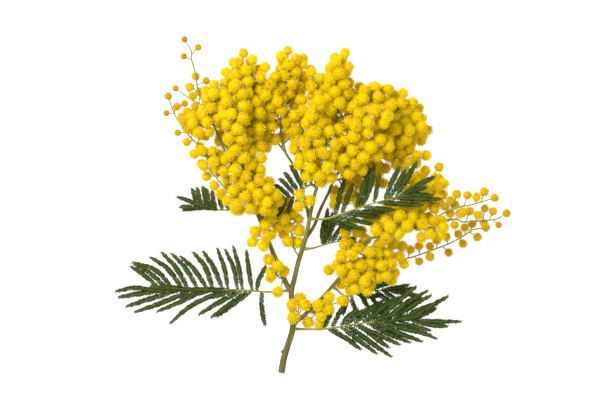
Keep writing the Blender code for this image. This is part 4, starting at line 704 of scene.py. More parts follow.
def stalk_direction(raceme, k, forward, draw):
    """The way that the stalk of head k points from its axis."""
    side = np.cross(forward, (0, 0, 1.0))
    side /= np.linalg.norm(side)
    if raceme.loose:
        turn = math.radians(180 * k + either_way(draw, LOOSE_SWAY))
    else:
        turn = math.radians(HEAD_TURN * k + either_way(draw, CROWDED_SWAY))
    lean = math.radians(TIP_LEAN if k == raceme.heads - 1 else draw.uniform(*HEAD_LEAN))
    out = side * math.cos(turn) + np.cross(side, forward) * math.sin(turn)
    return forward * math.cos(lean) + out * math.sin(lean)


def heads_in_turn(name, path, bare, draw):
    """The heads of a raceme, which stand round its axis by a steady turn or loosely in two rows."""
    raceme = RACEMES[name]
    found = []
    for k in range(raceme.heads):
        share = 1.0
        if k < raceme.heads - 1:
            share = bare + (1 - bare) * (k + 0.5 + either_way(draw, PLACE_SWAY)) / raceme.heads
        root, forward = point_along(path, share)
        size = raceme.foot_size + (raceme.tip_size - raceme.foot_size) * share
        size += either_way(draw, SIZE_SWAY)
        stalk = stalk_direction(raceme, k, forward, draw)
        centre = root + stalk * (size / 2 + draw.uniform(*STALK_LENGTH))
        found.append(Head(name, root, centre, size / 2))
    return found


print("Heads in turn:", sum(raceme.heads for raceme in RACEMES.values()))

# %% [markdown]
# A head at the rim stands where its place says. Its root is found on the axis, further back the further
# the head stands off, because the stalks lean forward.

# %% Heads at their places
STALK_SLANT = 0.5
PLACED_RISE = 1.5


def heads_in_place(name, path, bare, draw):
    """The heads of a raceme whose places over the table are given."""
    found = []
    for x, y, size in reversed(PLACED[name]):
        apart = np.linalg.norm(path[:, :2] - np.array((x, y)), axis=1)
        nearest = int(apart.argmin())
        share = nearest / (len(path) - 1) - STALK_SLANT * apart[nearest] / path_length(path)
        root, _ = point_along(path, max(share, bare))
        centre = np.array((x, y, root[2] + either_way(draw, PLACED_RISE)))
        found.append(Head(name, root, centre, size / 2))
    return found


def grow_heads(draw):
    """Every flower head, before it has made room for its neighbours."""
    grown = []
    for name in RACEMES:
        bare = (carrier_radii[name] + BARE_STALK) / path_length(axes[name])
        grow = heads_in_place if name in PLACED else heads_in_turn
        grown += grow(name, axes[name], bare, draw)
    return grown


heads = grow_heads(random.Random(SEED + 1))
print("Heads:", len(heads))

# %% [markdown]
# ## Making room for the heads
#
# Growing heads push each other aside. The same is done here in rounds: each head moves away from the
# heads, stems, leaves and axes that it overlaps, while its stalk keeps about its length. A rigid body
# simulation could do it too, but each thin stalk in it would need a joint of its own.

# %% Settle the heads
SETTLE_ROUNDS = 60
HEAD_PUSH = 0.45
WALL_PUSH = 0.8
STALK_PULL = 0.7
STALK_SHORTEST = 1.0
STALK_STRETCH = 3.5
FACE_DEPTH = 0.7947


def settle_heads(root, centre, radius, fixed, fixed_radii):
    """The centres of heads after all were moved clear of each other, of what is fixed and of the table."""
    reach = np.linalg.norm(centre - root, axis=1)
    rows = np.arange(len(root))
    for _ in range(SETTLE_ROUNDS):
        apart = centre[:, None] - centre[None]
        distance = np.linalg.norm(apart, axis=2)
        distance[rows, rows] = np.inf
        over = np.clip(radius[:, None] + radius[None] + GAP - distance, 0, None)
        centre = centre + (apart / distance[..., None] * over[..., None]).sum(1) * HEAD_PUSH
        apart = centre[:, None] - fixed[None]
        distance = np.linalg.norm(apart, axis=2)
        over = np.clip(radius[:, None] + fixed_radii[None] + GAP - distance, 0, None)
        worst = over.argmax(1)
        share = over[rows, worst] / distance[rows, worst]
        centre = centre + apart[rows, worst] * share[:, None] * WALL_PUSH
        out = centre - root
        length = np.linalg.norm(out, axis=1)
        wanted = np.clip(length, radius + STALK_SHORTEST, reach + STALK_STRETCH)
        centre = root + out * ((length + (wanted - length) * STALK_PULL) / length)[:, None]
        centre[:, 2] = np.maximum(centre[:, 2], FACE_DEPTH * radius)
    return centre


owners, root, centre, radius = zip(*heads)
axis_points = np.concatenate([path[2:] for path in axes.values()])
everything = np.concatenate([walls, axis_points])
room = np.concatenate([wall_radii, np.full(len(axis_points), AXIS_RADIUS)])
centre = settle_heads(np.array(root), np.array(centre), np.array(radius), everything, room)
heads = [Head(*row) for row in zip(owners, root, centre, radius)]
print("Highest head:", round(max(head.centre[2] + head.radius for head in heads), 1), "mm")

# %% [markdown]
# ## Small helpers for modelling
#
# Every piece is modelled once and then copied to its places, each copy with a mesh of its own. The
# copies of one spray or leaf are joined at the end, with the joined object at the origin.

# %% Helpers
TABLE_CLEARANCE = 0.02 * MM


def deselect():
    """An operator acts on all that is selected, so nothing is, before something is added."""
    if bpy.context.mode != "OBJECT":
        bpy.ops.object.mode_set(mode="OBJECT")
    bpy.ops.object.select_all(action="DESELECT")


def select_only(items):
    deselect()
    for item in items:
        item.select_set(True)
    bpy.context.view_layer.objects.active = items[0]


def copy_to(model, matrix):
    made = model.copy()
    made.data = model.data.copy()
    bpy.context.scene.collection.objects.link(made)
    made.matrix_world = matrix
    return made


def apply_place():
    bpy.ops.object.transform_apply(location=True, rotation=True, scale=True)


def join(items, name):
    """One object at the origin from many."""
    select_only(items)
    apply_place()
    if len(items) > 1:
        bpy.ops.object.join()
    items[0].name = name
    items[0].data.name = name
    return items[0]


def remove(items):
    for item in items:
        bpy.data.objects.remove(item)


def keep_value(item, attribute, value):
    """A value for each point of a mesh, which its material reads."""
    mesh = item.data
    if attribute not in mesh.attributes:
        mesh.attributes.new(attribute, "FLOAT", "POINT")
    values = np.broadcast_to(np.asarray(value, np.float32), len(mesh.vertices)).copy()
    mesh.attributes[attribute].data.foreach_set("value", values)


def places_of(item):
    """The places of a mesh's points, one in each row."""
    places = np.zeros(len(item.data.vertices) * 3, np.float32)
    item.data.vertices.foreach_get("co", places)
    return places.reshape(-1, 3)


def press_on_table(item):
    """What the table would cut is pressed flat on it, as soft heads and leaves are."""
    for vertex in item.data.vertices:
        vertex.co.z = max(vertex.co.z, TABLE_CLEARANCE)


deselect()
print("Objects selected:", len(bpy.context.selected_objects))

# %% [markdown]
# ## Shader helpers
#
# A material is a web of nodes. Drawn by hand, each node is added, set and linked, so each kind of node
# gets a short function that does the three in one line. An input is a link or a plain value.

# %% Nodes
def feed(links, given, socket):
    """Links an output to a socket, or sets the socket to a number or to a colour without its alpha."""
    if isinstance(given, bpy.types.NodeSocket):
        links.new(given, socket)
    elif isinstance(given, tuple):
        socket.default_value = (*given, 1)
    else:
        socket.default_value = given


def add_math(nodes, links, operation, *values):
    made = nodes.new("ShaderNodeMath")
    made.operation = operation
    for value, socket in zip(values, made.inputs):
        feed(links, value, socket)
    return made.outputs[0]


def add_mix(nodes, links, share, first, second, blend="MIX"):
    made = nodes.new("ShaderNodeMix")
    made.data_type = "RGBA"
    made.blend_type = blend
    for value, socket in ((share, "Factor"), (first, "A"), (second, "B")):
        feed(links, value, made.inputs[socket])
    return made.outputs["Result"]


def add_noise(nodes, links, vector, scale, detail):
    made = nodes.new("ShaderNodeTexNoise")
    for value, socket in ((vector, "Vector"), (scale, "Scale"), (detail, "Detail")):
        feed(links, value, made.inputs[socket])
    return made.outputs["Fac"]


def add_contrast(nodes, links, value, low, high):
    """Goes from 0 to 1 while a value goes from low to high."""
    made = nodes.new("ShaderNodeMapRange")
    for given, socket in ((value, "Value"), (low, "From Min"), (high, "From Max")):
        feed(links, given, made.inputs[socket])
    return made.outputs[0]


def add_ramp(nodes, links, value, stops):
    """A colour that runs through the given ones while a value goes from 0 to 1."""
    made = nodes.new("ShaderNodeValToRGB")
    elements = made.color_ramp.elements
    while len(elements) < len(stops):
        elements.new(0.5)
    for element, (place, colour) in zip(elements, stops):
        element.position = place
        element.color = (*colour, 1)
    links.new(value, made.inputs["Fac"])
    return made.outputs["Color"]


def add_group(nodes, links, group, values):
    """A shader group, placed in a material with values for its named inputs."""
    made = nodes.new("ShaderNodeGroup")
    made.node_tree = group
    for socket, value in values.items():
        feed(links, value, made.inputs[socket])
    return made


def read_value(nodes, name):
    """A value kept on the mesh."""
    made = nodes.new("ShaderNodeAttribute")
    made.attribute_name = name
    return made.outputs["Fac"]


def new_group(name, inputs, outputs):
    """A shader group with named sockets: itself, its nodes, its links, its input and its output."""
    group = bpy.data.node_groups.new(name, "ShaderNodeTree")
    for way, sockets in (("INPUT", inputs), ("OUTPUT", outputs)):
        for socket, kind in sockets.items():
            group.interface.new_socket(socket, in_out=way, socket_type=f"NodeSocket{kind}")
    nodes = group.nodes
    return group, nodes, group.links, nodes.new("NodeGroupInput"), nodes.new("NodeGroupOutput")


def new_material(name):
    """A material: itself, its nodes, its links and the sockets of its shader."""
    material = bpy.data.materials.new(name)
    material.use_nodes = True
    tree = material.node_tree
    return material, tree.nodes, tree.links, tree.nodes["Principled BSDF"].inputs


def set_shader(surface, values):
    for socket, value in values.items():
        surface[socket].default_value = value


print("Shader helpers are ready")

# %% [markdown]
# ## Soft mottling
#
# No part of a plant has one even colour. Flowers, bark and leaves all need a colour that wanders between
# two others, so it is a node group with named inputs. The shader itself stays in each material, where its
# gloss can be set by hand.

# %% Mottling group
WIDE_SHARE = 0.55
WIDE_DETAIL = 2.0
FINE_DETAIL = 3.0
MOTTLE_CONTRAST = (0.36, 0.64)


def make_mottle_group():
    """A colour that wanders between two others in soft patches, with fine grain over it."""
    group, nodes, links, given, result = new_group(
        "soft mottling",
        {"Dark": "Color", "Light": "Color", "Patches": "Float", "Grain": "Float"},
        {"Color": "Color"})
    place = nodes.new("ShaderNodeTexCoord").outputs["Object"]
    wide = add_noise(nodes, links, place, given.outputs["Patches"], WIDE_DETAIL)
    fine = add_noise(nodes, links, place, given.outputs["Grain"], FINE_DETAIL)
    both = add_math(nodes, links, "MULTIPLY", wide, WIDE_SHARE)
    both = add_math(nodes, links, "MULTIPLY_ADD", fine, 1 - WIDE_SHARE, both)
    value = add_contrast(nodes, links, both, *MOTTLE_CONTRAST)
    colour = add_mix(nodes, links, value, given.outputs["Dark"], given.outputs["Light"])
    links.new(colour, result.inputs["Color"])
    return group


mottle = make_mottle_group()
print("Group:", mottle.name)

# %% [markdown]
# ## Flower finish
#
# A head in full bloom is lemon at the tips of its stamens, and an older or closed head is ochre. Deeper in
# a head the colour turns deep orange, which is painted shade for the crevices between stamens and buds. Two
# values kept on the mesh drive that: depth runs from the heart to the tips, and tone from bloom to bud. Some
# light passes through the stamens, which a little subsurface gives.

# %% Flower material
# Colours from the heart of a head to its rim, each with its place between them. The darker colours at the
# heart are painted shade.
BLOOM = [(0.0, (0.86, 0.58, 0.001)), (0.45, (0.98, 0.78, 0.002)), (1.0, (1.0, 0.89, 0.010))]
BUD = [(0.0, (0.45, 0.19, 0.004)), (0.5, (0.68, 0.36, 0.008)), (1.0, (0.86, 0.56, 0.02))]
POLLEN_SHARE = 0.6


def make_stamen_group():
    """The colour of stamens in bloom or in bud, from the heart of the head to its rim, darker towards the
    heart as painted shade.
    """
    group, nodes, links, given, result = new_group(
        "stamen colour and painted shade", {"Depth": "Float", "Tone": "Float"}, {"Color": "Color"})
    bloom = add_ramp(nodes, links, given.outputs["Depth"], BLOOM)
    bud = add_ramp(nodes, links, given.outputs["Depth"], BUD)
    colour = add_mix(nodes, links, given.outputs["Tone"], bloom, bud)
    links.new(colour, result.inputs["Color"])
    return group


def make_flower_material():
    material, nodes, links, surface = new_material("stamens")
    colour = add_group(nodes, links, make_stamen_group(), {
        "Depth": read_value(nodes, "depth"),
        "Tone": read_value(nodes, "tone"),
    })
    pollen = add_group(nodes, links, mottle, {
        "Dark": (0.93, 0.88, 0.80), "Light": (1, 1, 1), "Patches": 160.0, "Grain": 1400.0,
    })
    dusted = add_mix(nodes, links, POLLEN_SHARE, colour.outputs["Color"], pollen.outputs["Color"],
                     "MULTIPLY")
    links.new(dusted, surface["Base Color"])
    set_shader(surface, {
        "Roughness": 0.8,
        "Specular IOR Level": 0.08,
        "Subsurface Weight": 0.12,
        "Subsurface Radius": (1.0, 0.6, 0.1),
        "Subsurface Scale": 0.6 * MM,
    })
    return material


flower_material = make_flower_material()
print("Finish:", flower_material.name)

# %% [markdown]
# ## One stamen
#
# What looks like one flower is a ball of thirty or so tiny ones, of which only the stamens show. Each
# stamen is a thin thread that ends in a pollen sac. Hair would show it well but is lost in an export. A
# three-sided cone with its point in the heart and a low cap outside has both in six faces.

# %% Model a stamen
STAMEN_RADIUS = 0.1
CAP_RISE = 0.1


def make_stamen():
    """Of length 1 along +Z, with its point at the origin."""
    deselect()
    bpy.ops.mesh.primitive_cone_add(vertices=3, radius1=STAMEN_RADIUS, radius2=0, depth=1,
                                    end_fill_type="NGON", location=(0, 0, 0.5),
                                    rotation=(math.pi, 0, 0))
    made = bpy.context.object
    apply_place()
    bpy.ops.object.mode_set(mode="EDIT")
    bpy.ops.mesh.select_all(action="DESELECT")
    bpy.ops.object.mode_set(mode="OBJECT")
    for face in made.data.polygons:
        face.select = face.normal.z > 0.9
    bpy.ops.object.mode_set(mode="EDIT")
    bpy.ops.mesh.poke(offset=CAP_RISE)
    bpy.ops.object.mode_set(mode="OBJECT")
    return made


stamen = make_stamen()
print("Faces of a stamen:", len(stamen.data.polygons))

# %% [markdown]
# ## Open heads
#
# A golden spiral spreads the stamens evenly over a ball, as the flowers of a real head are. They stand in a
# small core, so that no light falls through. Four heads that differ a little are enough, because each copy
# is turned its own way. The flowers at the top of a head open last, so it stays darker there.

# %% Model the open heads
CORE = 0.82
STAMENS = 84
STAMEN_SWAY = 0.09
STAMEN_SUNK = 0.2
STAMEN_REACH = (0.94, 1.08)
HEART_SUNK = 0.05
RIM = 1.03
POLE_EDGE = 0.84
POLE_WIDTH = 0.14
OPEN_HEADS = 4


def golden_directions(count, draw, sway):
    """Directions spread evenly over a ball."""
    found = []
    for k in range(count):
        z = 1 - 2 * (k + 0.5) / count
        flat = math.sqrt(1 - z * z)
        angle = k * math.pi * (3 - math.sqrt(5))
        way = Vector((flat * math.cos(angle), flat * math.sin(angle), z))
        way += Vector((draw.uniform(-1, 1), draw.uniform(-1, 1), draw.uniform(-1, 1))) * sway
        found.append(way.normalized())
    return found


def stand_on(place, way):
    """The matrix that puts what stands along +Z at a place, along a way."""
    return Matrix.Translation(place) @ way.to_track_quat("Z", "Y").to_matrix().to_4x4()


def finish_head(pieces, name):
    """One head of radius 1, with its depth: 0 in the heart and 1 at the rim."""
    head = join(pieces, name)
    distance = np.linalg.norm(places_of(head), axis=1)
    # The material uses depth to darken the colour towards the heart, as painted shade between the stamens.
    keep_value(head, "depth", np.clip((distance - CORE + HEART_SUNK) / (RIM - CORE), 0, 1))
    head.data.materials.append(flower_material)
    return head


def make_open_head(name, draw):
    deselect()
    bpy.ops.mesh.primitive_ico_sphere_add(subdivisions=2, radius=CORE)
    pieces = [bpy.context.object]
    foot = CORE - STAMEN_SUNK
    for way in golden_directions(STAMENS, draw, STAMEN_SWAY):
        length = draw.uniform(*STAMEN_REACH) - foot
        turn = Quaternion((0, 0, 1), draw.uniform(0, math.tau)).to_matrix().to_4x4()
        pieces.append(copy_to(stamen, stand_on(way * foot, way) @ turn @ Matrix.Diagonal((1, 1, length, 1))))
    return finish_head(pieces, name)


def pole_share(head):
    """1 at the top of a head, where the last flowers are still closed, and 0 from a little way down."""
    places = places_of(head)
    upward = places[:, 2] / np.maximum(np.linalg.norm(places, axis=1), 0.01)
    return np.clip((upward - POLE_EDGE) / POLE_WIDTH, 0, 1)


head_draw = random.Random(SEED + 2)
open_heads = [make_open_head(f"open head {k}", head_draw) for k in range(OPEN_HEADS)]
poles = {head: pole_share(head) for head in open_heads}
remove([stamen])
print("Faces of an open head:", len(open_heads[0].data.polygons))

# %% [markdown]
# ## Buds
#
# At the thin ends of the racemes the heads are still closed. Every tiny flower of them is a round bud, so
# the ball is studded with low grains instead of stamens.

# %% Model a bud
BUD_CORE = 0.8
GRAINS = 34
GRAIN_RADIUS = 0.2
GRAIN_SWAY = 0.05
GRAIN_PLACE = 0.82
GRAIN_HEIGHT = (0.75, 0.95)


def make_bud(name, draw):
    """A closed head, where every tiny flower is still a round bud."""
    deselect()
    bpy.ops.mesh.primitive_ico_sphere_add(subdivisions=2, radius=BUD_CORE)
    pieces = [bpy.context.object]
    deselect()
    bpy.ops.mesh.primitive_ico_sphere_add(subdivisions=1, radius=GRAIN_RADIUS)
    grain = bpy.context.object
    for way in golden_directions(GRAINS, draw, GRAIN_SWAY):
        height = Matrix.Diagonal((1, 1, draw.uniform(*GRAIN_HEIGHT), 1))
        pieces.append(copy_to(grain, stand_on(way * GRAIN_PLACE, way) @ height))
    remove([grain])
    return finish_head(pieces, name)


bud_head = make_bud("bud", head_draw)
print("Faces of a bud:", len(bud_head.data.polygons))

# %% [markdown]
# ## Stalk and bark finishes
#
# Young mimosa wood is olive and ribbed, with pale streaks along it and a brown tinge lower down. Noise on
# its own would make spots. So the value round, which runs round a stem, and along, in millimetres along
# it, are turned into a place on a long narrow tube, where the same noise makes streaks that follow every
# bend.

# %% Streak group
STREAK_DETAIL = 4.0
STREAK_CONTRAST = (0.35, 0.65)
STREAK_DEPTH = 0.2 * MM


def make_streak_group():
    """Long streaks that run with the stem: a value from 0 to 1 and a matching normal."""
    group, nodes, links, given, result = new_group(
        "streaks along a stem",
        {"Round": "Float", "Along": "Float", "Streaks": "Float", "Length": "Float", "Relief": "Float"},
        {"Value": "Float", "Normal": "Vector"})
    angle = add_math(nodes, links, "MULTIPLY", given.outputs["Round"], math.tau)
    place = nodes.new("ShaderNodeCombineXYZ")
    for axis, operation in (("X", "COSINE"), ("Y", "SINE")):
        wave = add_math(nodes, links, operation, angle)
        wide = add_math(nodes, links, "MULTIPLY", wave, given.outputs["Streaks"])
        links.new(wide, place.inputs[axis])
    far = add_math(nodes, links, "DIVIDE", given.outputs["Along"], given.outputs["Length"])
    links.new(far, place.inputs["Z"])
    noise = add_noise(nodes, links, place.outputs[0], 1.0, STREAK_DETAIL)
    value = add_contrast(nodes, links, noise, *STREAK_CONTRAST)
    bump = nodes.new("ShaderNodeBump")
    bump.inputs["Distance"].default_value = STREAK_DEPTH
    links.new(given.outputs["Relief"], bump.inputs["Strength"])
    links.new(value, bump.inputs["Height"])
    links.new(value, result.inputs["Value"])
    links.new(bump.outputs["Normal"], result.inputs["Normal"])
    return group


streaks = make_streak_group()
print("Group:", streaks.name)

# %% [markdown]
# The woody stem and the green stalks have the same make-up in other colours, so one function makes both
# finishes.

# %% Bark and stalk materials
def make_stem_material(name, dark, light, streak, brown, roughness):
    """Mottled dark to light, with streaks, and turning brown where the value wood is high."""
    material, nodes, links, surface = new_material(name)
    patches = add_group(nodes, links, mottle, {
        "Dark": dark, "Light": light, "Patches": 90.0, "Grain": 900.0,
    })
    lines = add_group(nodes, links, streaks, {
        "Round": read_value(nodes, "round"),
        "Along": read_value(nodes, "along"),
        "Streaks": 2.6,
        "Length": 9.0,
        "Relief": 0.6,
    })
    young = add_mix(nodes, links, lines.outputs["Value"], patches.outputs["Color"], streak)
    old = add_mix(nodes, links, 1.0, young, brown, "MULTIPLY")
    colour = add_mix(nodes, links, read_value(nodes, "wood"), young, old)
    links.new(colour, surface["Base Color"])
    links.new(lines.outputs["Normal"], surface["Normal"])
    set_shader(surface, {"Roughness": roughness, "Specular IOR Level": 0.2})
    return material


bark_material = make_stem_material(
    "ribbed bark", dark=(0.13, 0.12, 0.02), light=(0.25, 0.23, 0.04), streak=(0.44, 0.41, 0.14),
    brown=(0.48, 0.45, 0.50), roughness=0.6)
stalk_material = make_stem_material(
    "green stalk", dark=(0.24, 0.21, 0.015), light=(0.40, 0.36, 0.04), streak=(0.56, 0.52, 0.11),
    brown=(0.55, 0.48, 0.50), roughness=0.65)
print("Finishes:", bark_material.name, "and", stalk_material.name)

# %% [markdown]
# ## Tubes with ribs
#
# A stem is a curve with a bevel profile. The profile of the trunk is a circle with low ribs, as on young
# mimosa wood, and a smaller plain ring serves for stalks. The curve is then turned into a mesh, which is
# made ring by ring, so the values round and along can be counted out.

# %% Tube profiles
RIBS = 5
# Each profile: the number of its sides and the rise of its ribs.
PROFILES = {"trunk": (20, 0.06), "twig": (10, 0.04), "stalk": (5, 0.0)}


def make_profile(name, sides, rise):
    """A closed ring of radius 1 with low ribs."""
    curve = bpy.data.curves.new(name, "CURVE")
    curve.dimensions = "2D"
    spline = curve.splines.new("POLY")
    spline.points.add(sides - 1)
    for k, point in enumerate(spline.points):
        angle = math.tau * k / sides
        radius = 1 + rise * math.cos(RIBS * angle)
        point.co = (radius * math.cos(angle), radius * math.sin(angle), 0, 1)
    spline.use_cyclic_u = True
    made = bpy.data.objects.new(name, curve)
    bpy.context.scene.collection.objects.link(made)
    return made


rings = {name: make_profile(f"{name} profile", *shape) for name, shape in PROFILES.items()}
print("Profiles:", ", ".join(rings))

# %% Tubes
def make_line(name, path):
    """A curve through a path in millimetres."""
    curve = bpy.data.curves.new(name, "CURVE")
    curve.dimensions = "3D"
    spline = curve.splines.new("POLY")
    spline.points.add(len(path) - 1)
    for point, place in zip(spline.points, path):
        point.co = (*(Vector(place) * MM), 1)
    made = bpy.data.objects.new(name, curve)
    bpy.context.scene.collection.objects.link(made)
    return made, curve, spline.points


def make_tube(name, path, radii, profile, wood, material):
    """A tube along a path in millimetres, with its values for the stem materials."""
    made, curve, points = make_line(name, path)
    curve.bevel_mode = "OBJECT"
    curve.bevel_object = rings[profile]
    curve.use_fill_caps = True
    for point, radius in zip(points, radii):
        point.radius = radius * MM
    select_only([made])
    bpy.ops.object.convert(target="MESH")
    sides = PROFILES[profile][0]
    count = len(made.data.vertices)
    ring_number = np.minimum(np.arange(count) // sides, len(path) - 1)
    keep_value(made, "round", (np.arange(count) % sides) / sides)
    keep_value(made, "along", ring_number * (path_length(path) / (len(path) - 1)))
    keep_value(made, "wood", np.interp(ring_number, (0, len(path) - 1), wood))
    bpy.ops.object.mode_set(mode="EDIT")
    bpy.ops.mesh.select_all(action="SELECT")
    bpy.ops.mesh.remove_doubles(threshold=1e-6)
    bpy.ops.mesh.normals_make_consistent(inside=False)
    bpy.ops.object.mode_set(mode="OBJECT")
    made.data.materials.append(material)
    return made


print("Tubes can have", min(sides for sides, _ in PROFILES.values()), "sides or more")

# %% [markdown]
# ## Pedicels
#
# The stalk of a single head is called a pedicel. At this size it is a thread of five sides, modelled once
# and stretched from the axis to the head.

# %% Model a pedicel
PEDICEL_RADIUS = 0.42 * MM


def make_pedicel():
    """A thread of length 1 along +Z."""
    deselect()
    bpy.ops.mesh.primitive_cylinder_add(vertices=5, radius=PEDICEL_RADIUS, depth=1, location=(0, 0, 0.5))
    made = bpy.context.object
    apply_place()
    for value in ("round", "along", "wood"):
        keep_value(made, value, 0.0)
    made.data.materials.append(stalk_material)
    return made


pedicel = make_pedicel()
print("Faces of a pedicel:", len(pedicel.data.polygons))

# %% [markdown]
# ## Placing a head
#
# A head's top looks away from its axis and up towards the light, a little at random. Its tone follows its
# size: small heads at the ends of racemes are ochre buds, and full heads are lemon or gold, some with a
# darker top.

# %% Place a head
FLUFF = 1.08
BUD_RADIUS = 2.95
FULL_RADIUS = 3.7
OPENING = 1.3
CLOSED_TONE = 0.75
TONE_SPREAD = 0.34
TONE_POWER = 1.2
POLE_RISE = 0.9
POLE_SWAY = 0.4
POLE_TONE = (-0.5, 0.8)
PEDICEL_END = 0.5


def head_tone(radius, draw):
    """0 for a head in full bloom and 1 for a brown bud."""
    closed = min(max((FULL_RADIUS - radius) / OPENING, 0), 1)
    return min(1.0, CLOSED_TONE * closed + draw.uniform(0.0, TONE_SPREAD) ** TONE_POWER)


def place_head(head, draw):
    model = bud_head if head.radius < BUD_RADIUS else draw.choice(open_heads)
    pole = Vector(head.centre - head.root).normalized() + Vector((0, 0, POLE_RISE))
    pole += Vector((draw.gauss(0, POLE_SWAY), draw.gauss(0, POLE_SWAY), draw.gauss(0, POLE_SWAY)))
    turn = Quaternion((0, 0, 1), draw.uniform(0, math.tau)).to_matrix().to_4x4()
    size = Matrix.Scale(FLUFF * float(head.radius) * MM, 4)
    made = copy_to(model, stand_on(Vector(head.centre) * MM, pole) @ turn @ size)
    tone = head_tone(head.radius, draw)
    if model in poles:
        tone = np.minimum(tone + poles[model] * max(0.0, draw.uniform(*POLE_TONE)), 1)
    keep_value(made, "tone", tone)
    return made


def place_pedicel(head):
    reach = Vector(head.centre - head.root) * MM
    length = reach.length - head.radius * PEDICEL_END * MM
    return copy_to(pedicel, stand_on(Vector(head.root) * MM, reach) @ Matrix.Diagonal((1, 1, length, 1)))


print("Buds:", sum(head.radius < BUD_RADIUS for head in heads), "of", len(heads), "heads")

# %% [markdown]
# ## Sprays
#
# A spray is one raceme with those that spring from it: the axes as tubes, and a pedicel and a head at
# every place. It is one piece, as in the frame, because it is picked and moved as one.

# %% Dress the sprays
AXIS_TAPER = (0.72, 0.5)
AXIS_WOOD = (0.25, 0.0)


def dress_spray(spray, draw):
    """All the axes, pedicels and heads of the racemes that one foot bears."""
    pieces = []
    for name in (found for found in RACEMES if group_of(found) == spray):
        radii = np.linspace(*AXIS_TAPER, AXIS_POINTS)
        pieces.append(make_tube(f"axis {name}", axes[name], radii, "stalk", AXIS_WOOD, stalk_material))
        for head in (found for found in heads if found.raceme == name):
            pieces.append(place_pedicel(head))
            pieces.append(place_head(head, draw))
    return join(pieces, f"flowers_{spray}")


spray_draw = random.Random(SEED + 3)
spray_faces = []
for spray in (name for name in RACEMES if group_of(name) == name):
    made = dress_spray(spray, spray_draw)
    press_on_table(made)
    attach(made, "root")
    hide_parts(f"spray_{spray}")
    spray_faces.append(len(made.data.polygons))
remove([pedicel, bud_head] + open_heads)
print("Sprays:", len(spray_faces), "faces:", sum(spray_faces))

# %% [markdown]
# ## The woody stem
#
# The branches are tubes that start inside the one that bears them, browner towards the cut end. A short
# stub with a scar is left where a twig was pruned.

# %% Model the stem
# The ends of the stub where a twig was pruned, its radius, and its taper towards the scar.
SCAR = ((-19.5, -107, 3.2), (-22.6, -105.2, 4.2), 1.5)
SCAR_TAPER = (1, 1, 0.96, 0.9, 0.74)
SCAR_WOOD = (0.9, 1.0)
TRUNK_WOOD = (0.9, 0.1)
BRANCH_WOOD = (0.55, 0.1)
THICK = 1.5


def make_branch(name, path, radii):
    fine = smooth_path(path, 3 * len(path))
    widths = np.interp(np.linspace(0, 1, len(fine)), np.linspace(0, 1, len(radii)), radii)
    profile = "trunk" if widths[0] > THICK else "twig"
    wood = TRUNK_WOOD if name == "trunk" else BRANCH_WOOD
    return make_tube(f"branch {name}", fine, widths, profile, wood, bark_material)


def make_stub():
    start, end, radius = SCAR
    radii = [radius * share for share in SCAR_TAPER]
    return make_tube("stub", smooth_path([start, end], len(radii)), radii, "twig", SCAR_WOOD, bark_material)


tubes = [make_branch(name, path, radii) for name, (path, radii) in branches.items()]
woody_stem = join(tubes + [make_stub()], "woody_stem")
press_on_table(woody_stem)
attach(woody_stem, "root")
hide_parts("stem")
print("Stem faces:", len(woody_stem.data.polygons))

# %% [markdown]
# ## Leaf finish
#
# Mimosa leaflets are a soft blue green with a matt bloom, and pale where they are young, near the tips.
# The value tone carries that. It also makes some leaflets paler at random, partly as their own varied
# colour and partly as painted highlights for glints of light on them. A little light passes through them.

# %% Leaf material
PALE_GREEN = (0.19, 0.25, 0.08)


def make_leaf_material():
    material, nodes, links, surface = new_material("leaflets")
    patches = add_group(nodes, links, mottle, {
        "Dark": (0.017, 0.046, 0.002), "Light": (0.056, 0.110, 0.007), "Patches": 110.0, "Grain": 1500.0,
    })
    green = add_mix(nodes, links, read_value(nodes, "tone"), patches.outputs["Color"], PALE_GREEN)
    links.new(green, surface["Base Color"])
    set_shader(surface, {
        "Roughness": 0.6,
        "Specular IOR Level": 0.08,
        "Subsurface Weight": 0.08,
        "Subsurface Radius": (0.5, 1.0, 0.2),
        "Subsurface Scale": 0.3 * MM,
    })
    return material


leaf_material = make_leaf_material()
print("Finish:", leaf_material.name)

# %% [markdown]
# ## One leaflet
#
# A leaflet is a tiny oblong, slightly raised along its middle. An array of modelled blades would be far
# too heavy, as there are thousands. A low cone of eight sides, stretched in edit mode, has the outline and
# the raised middle in nine faces.

# %% Model a leaflet
# Half a leaflet's length and width, and its thickness, in millimetres.
LEAFLET = (1.78, 0.68, 0.22)
LEAFLET_START = 0.82


def make_leaflet():
    """A flat oblong leaflet from the origin along +X."""
    deselect()
    bpy.ops.mesh.primitive_cone_add(vertices=8, radius1=MM, radius2=0, depth=MM, location=(0, 0, 0))
    made = bpy.context.object
    bpy.ops.object.mode_set(mode="EDIT")
    bpy.ops.mesh.select_all(action="SELECT")
    bpy.ops.transform.resize(value=LEAFLET)
    bpy.ops.transform.translate(value=(LEAFLET[0] * LEAFLET_START * MM, 0, 0))
    bpy.ops.object.mode_set(mode="OBJECT")
    bpy.ops.object.shade_smooth()
    return made


leaflet = make_leaflet()
print("Faces of a leaflet:", len(leaflet.data.polygons))

# %% [markdown]
# ## Straight pinnae
#
# Each pinna is a comb of leaflets in pairs that slant forward, smaller at its foot and tip, and ends in a
# single one. It is built straight, in five lengths, so that its leaflets keep their size when a copy is
# fitted to a line. The rib is cut across, because a modifier can only bend it where it has rings.

# %% Model the pinnae
PAIRS = (8, 12, 17, 23, 30)
PITCH = 1.45
RIB_RADII = (0.5 * MM, 0.3 * MM)
RIB_PARTS = 10
RIB_TONE = 0.55
FIRST_PAIR = 0.35
PAIR_SHIFT = 0.2
LEAFLET_RISE = 0.05
SLANT = math.radians(46)
SLANT_LOSS = 0.5
SLANT_SWAY = 0.09
FOOT_SHRINK = 0.3
TIP_SHRINK = 0.28
PITCHED = (-0.35, 0.1)
ROLLED = 0.3
SIZE_SPREAD = (0.86, 1.1)
LEAF_TONE_SPREAD = 0.5
LEAF_TONE_GAIN = 1.6
YOUNG_TONE = 0.45
END_LEAFLET = 1.9
END_TONE = 0.7


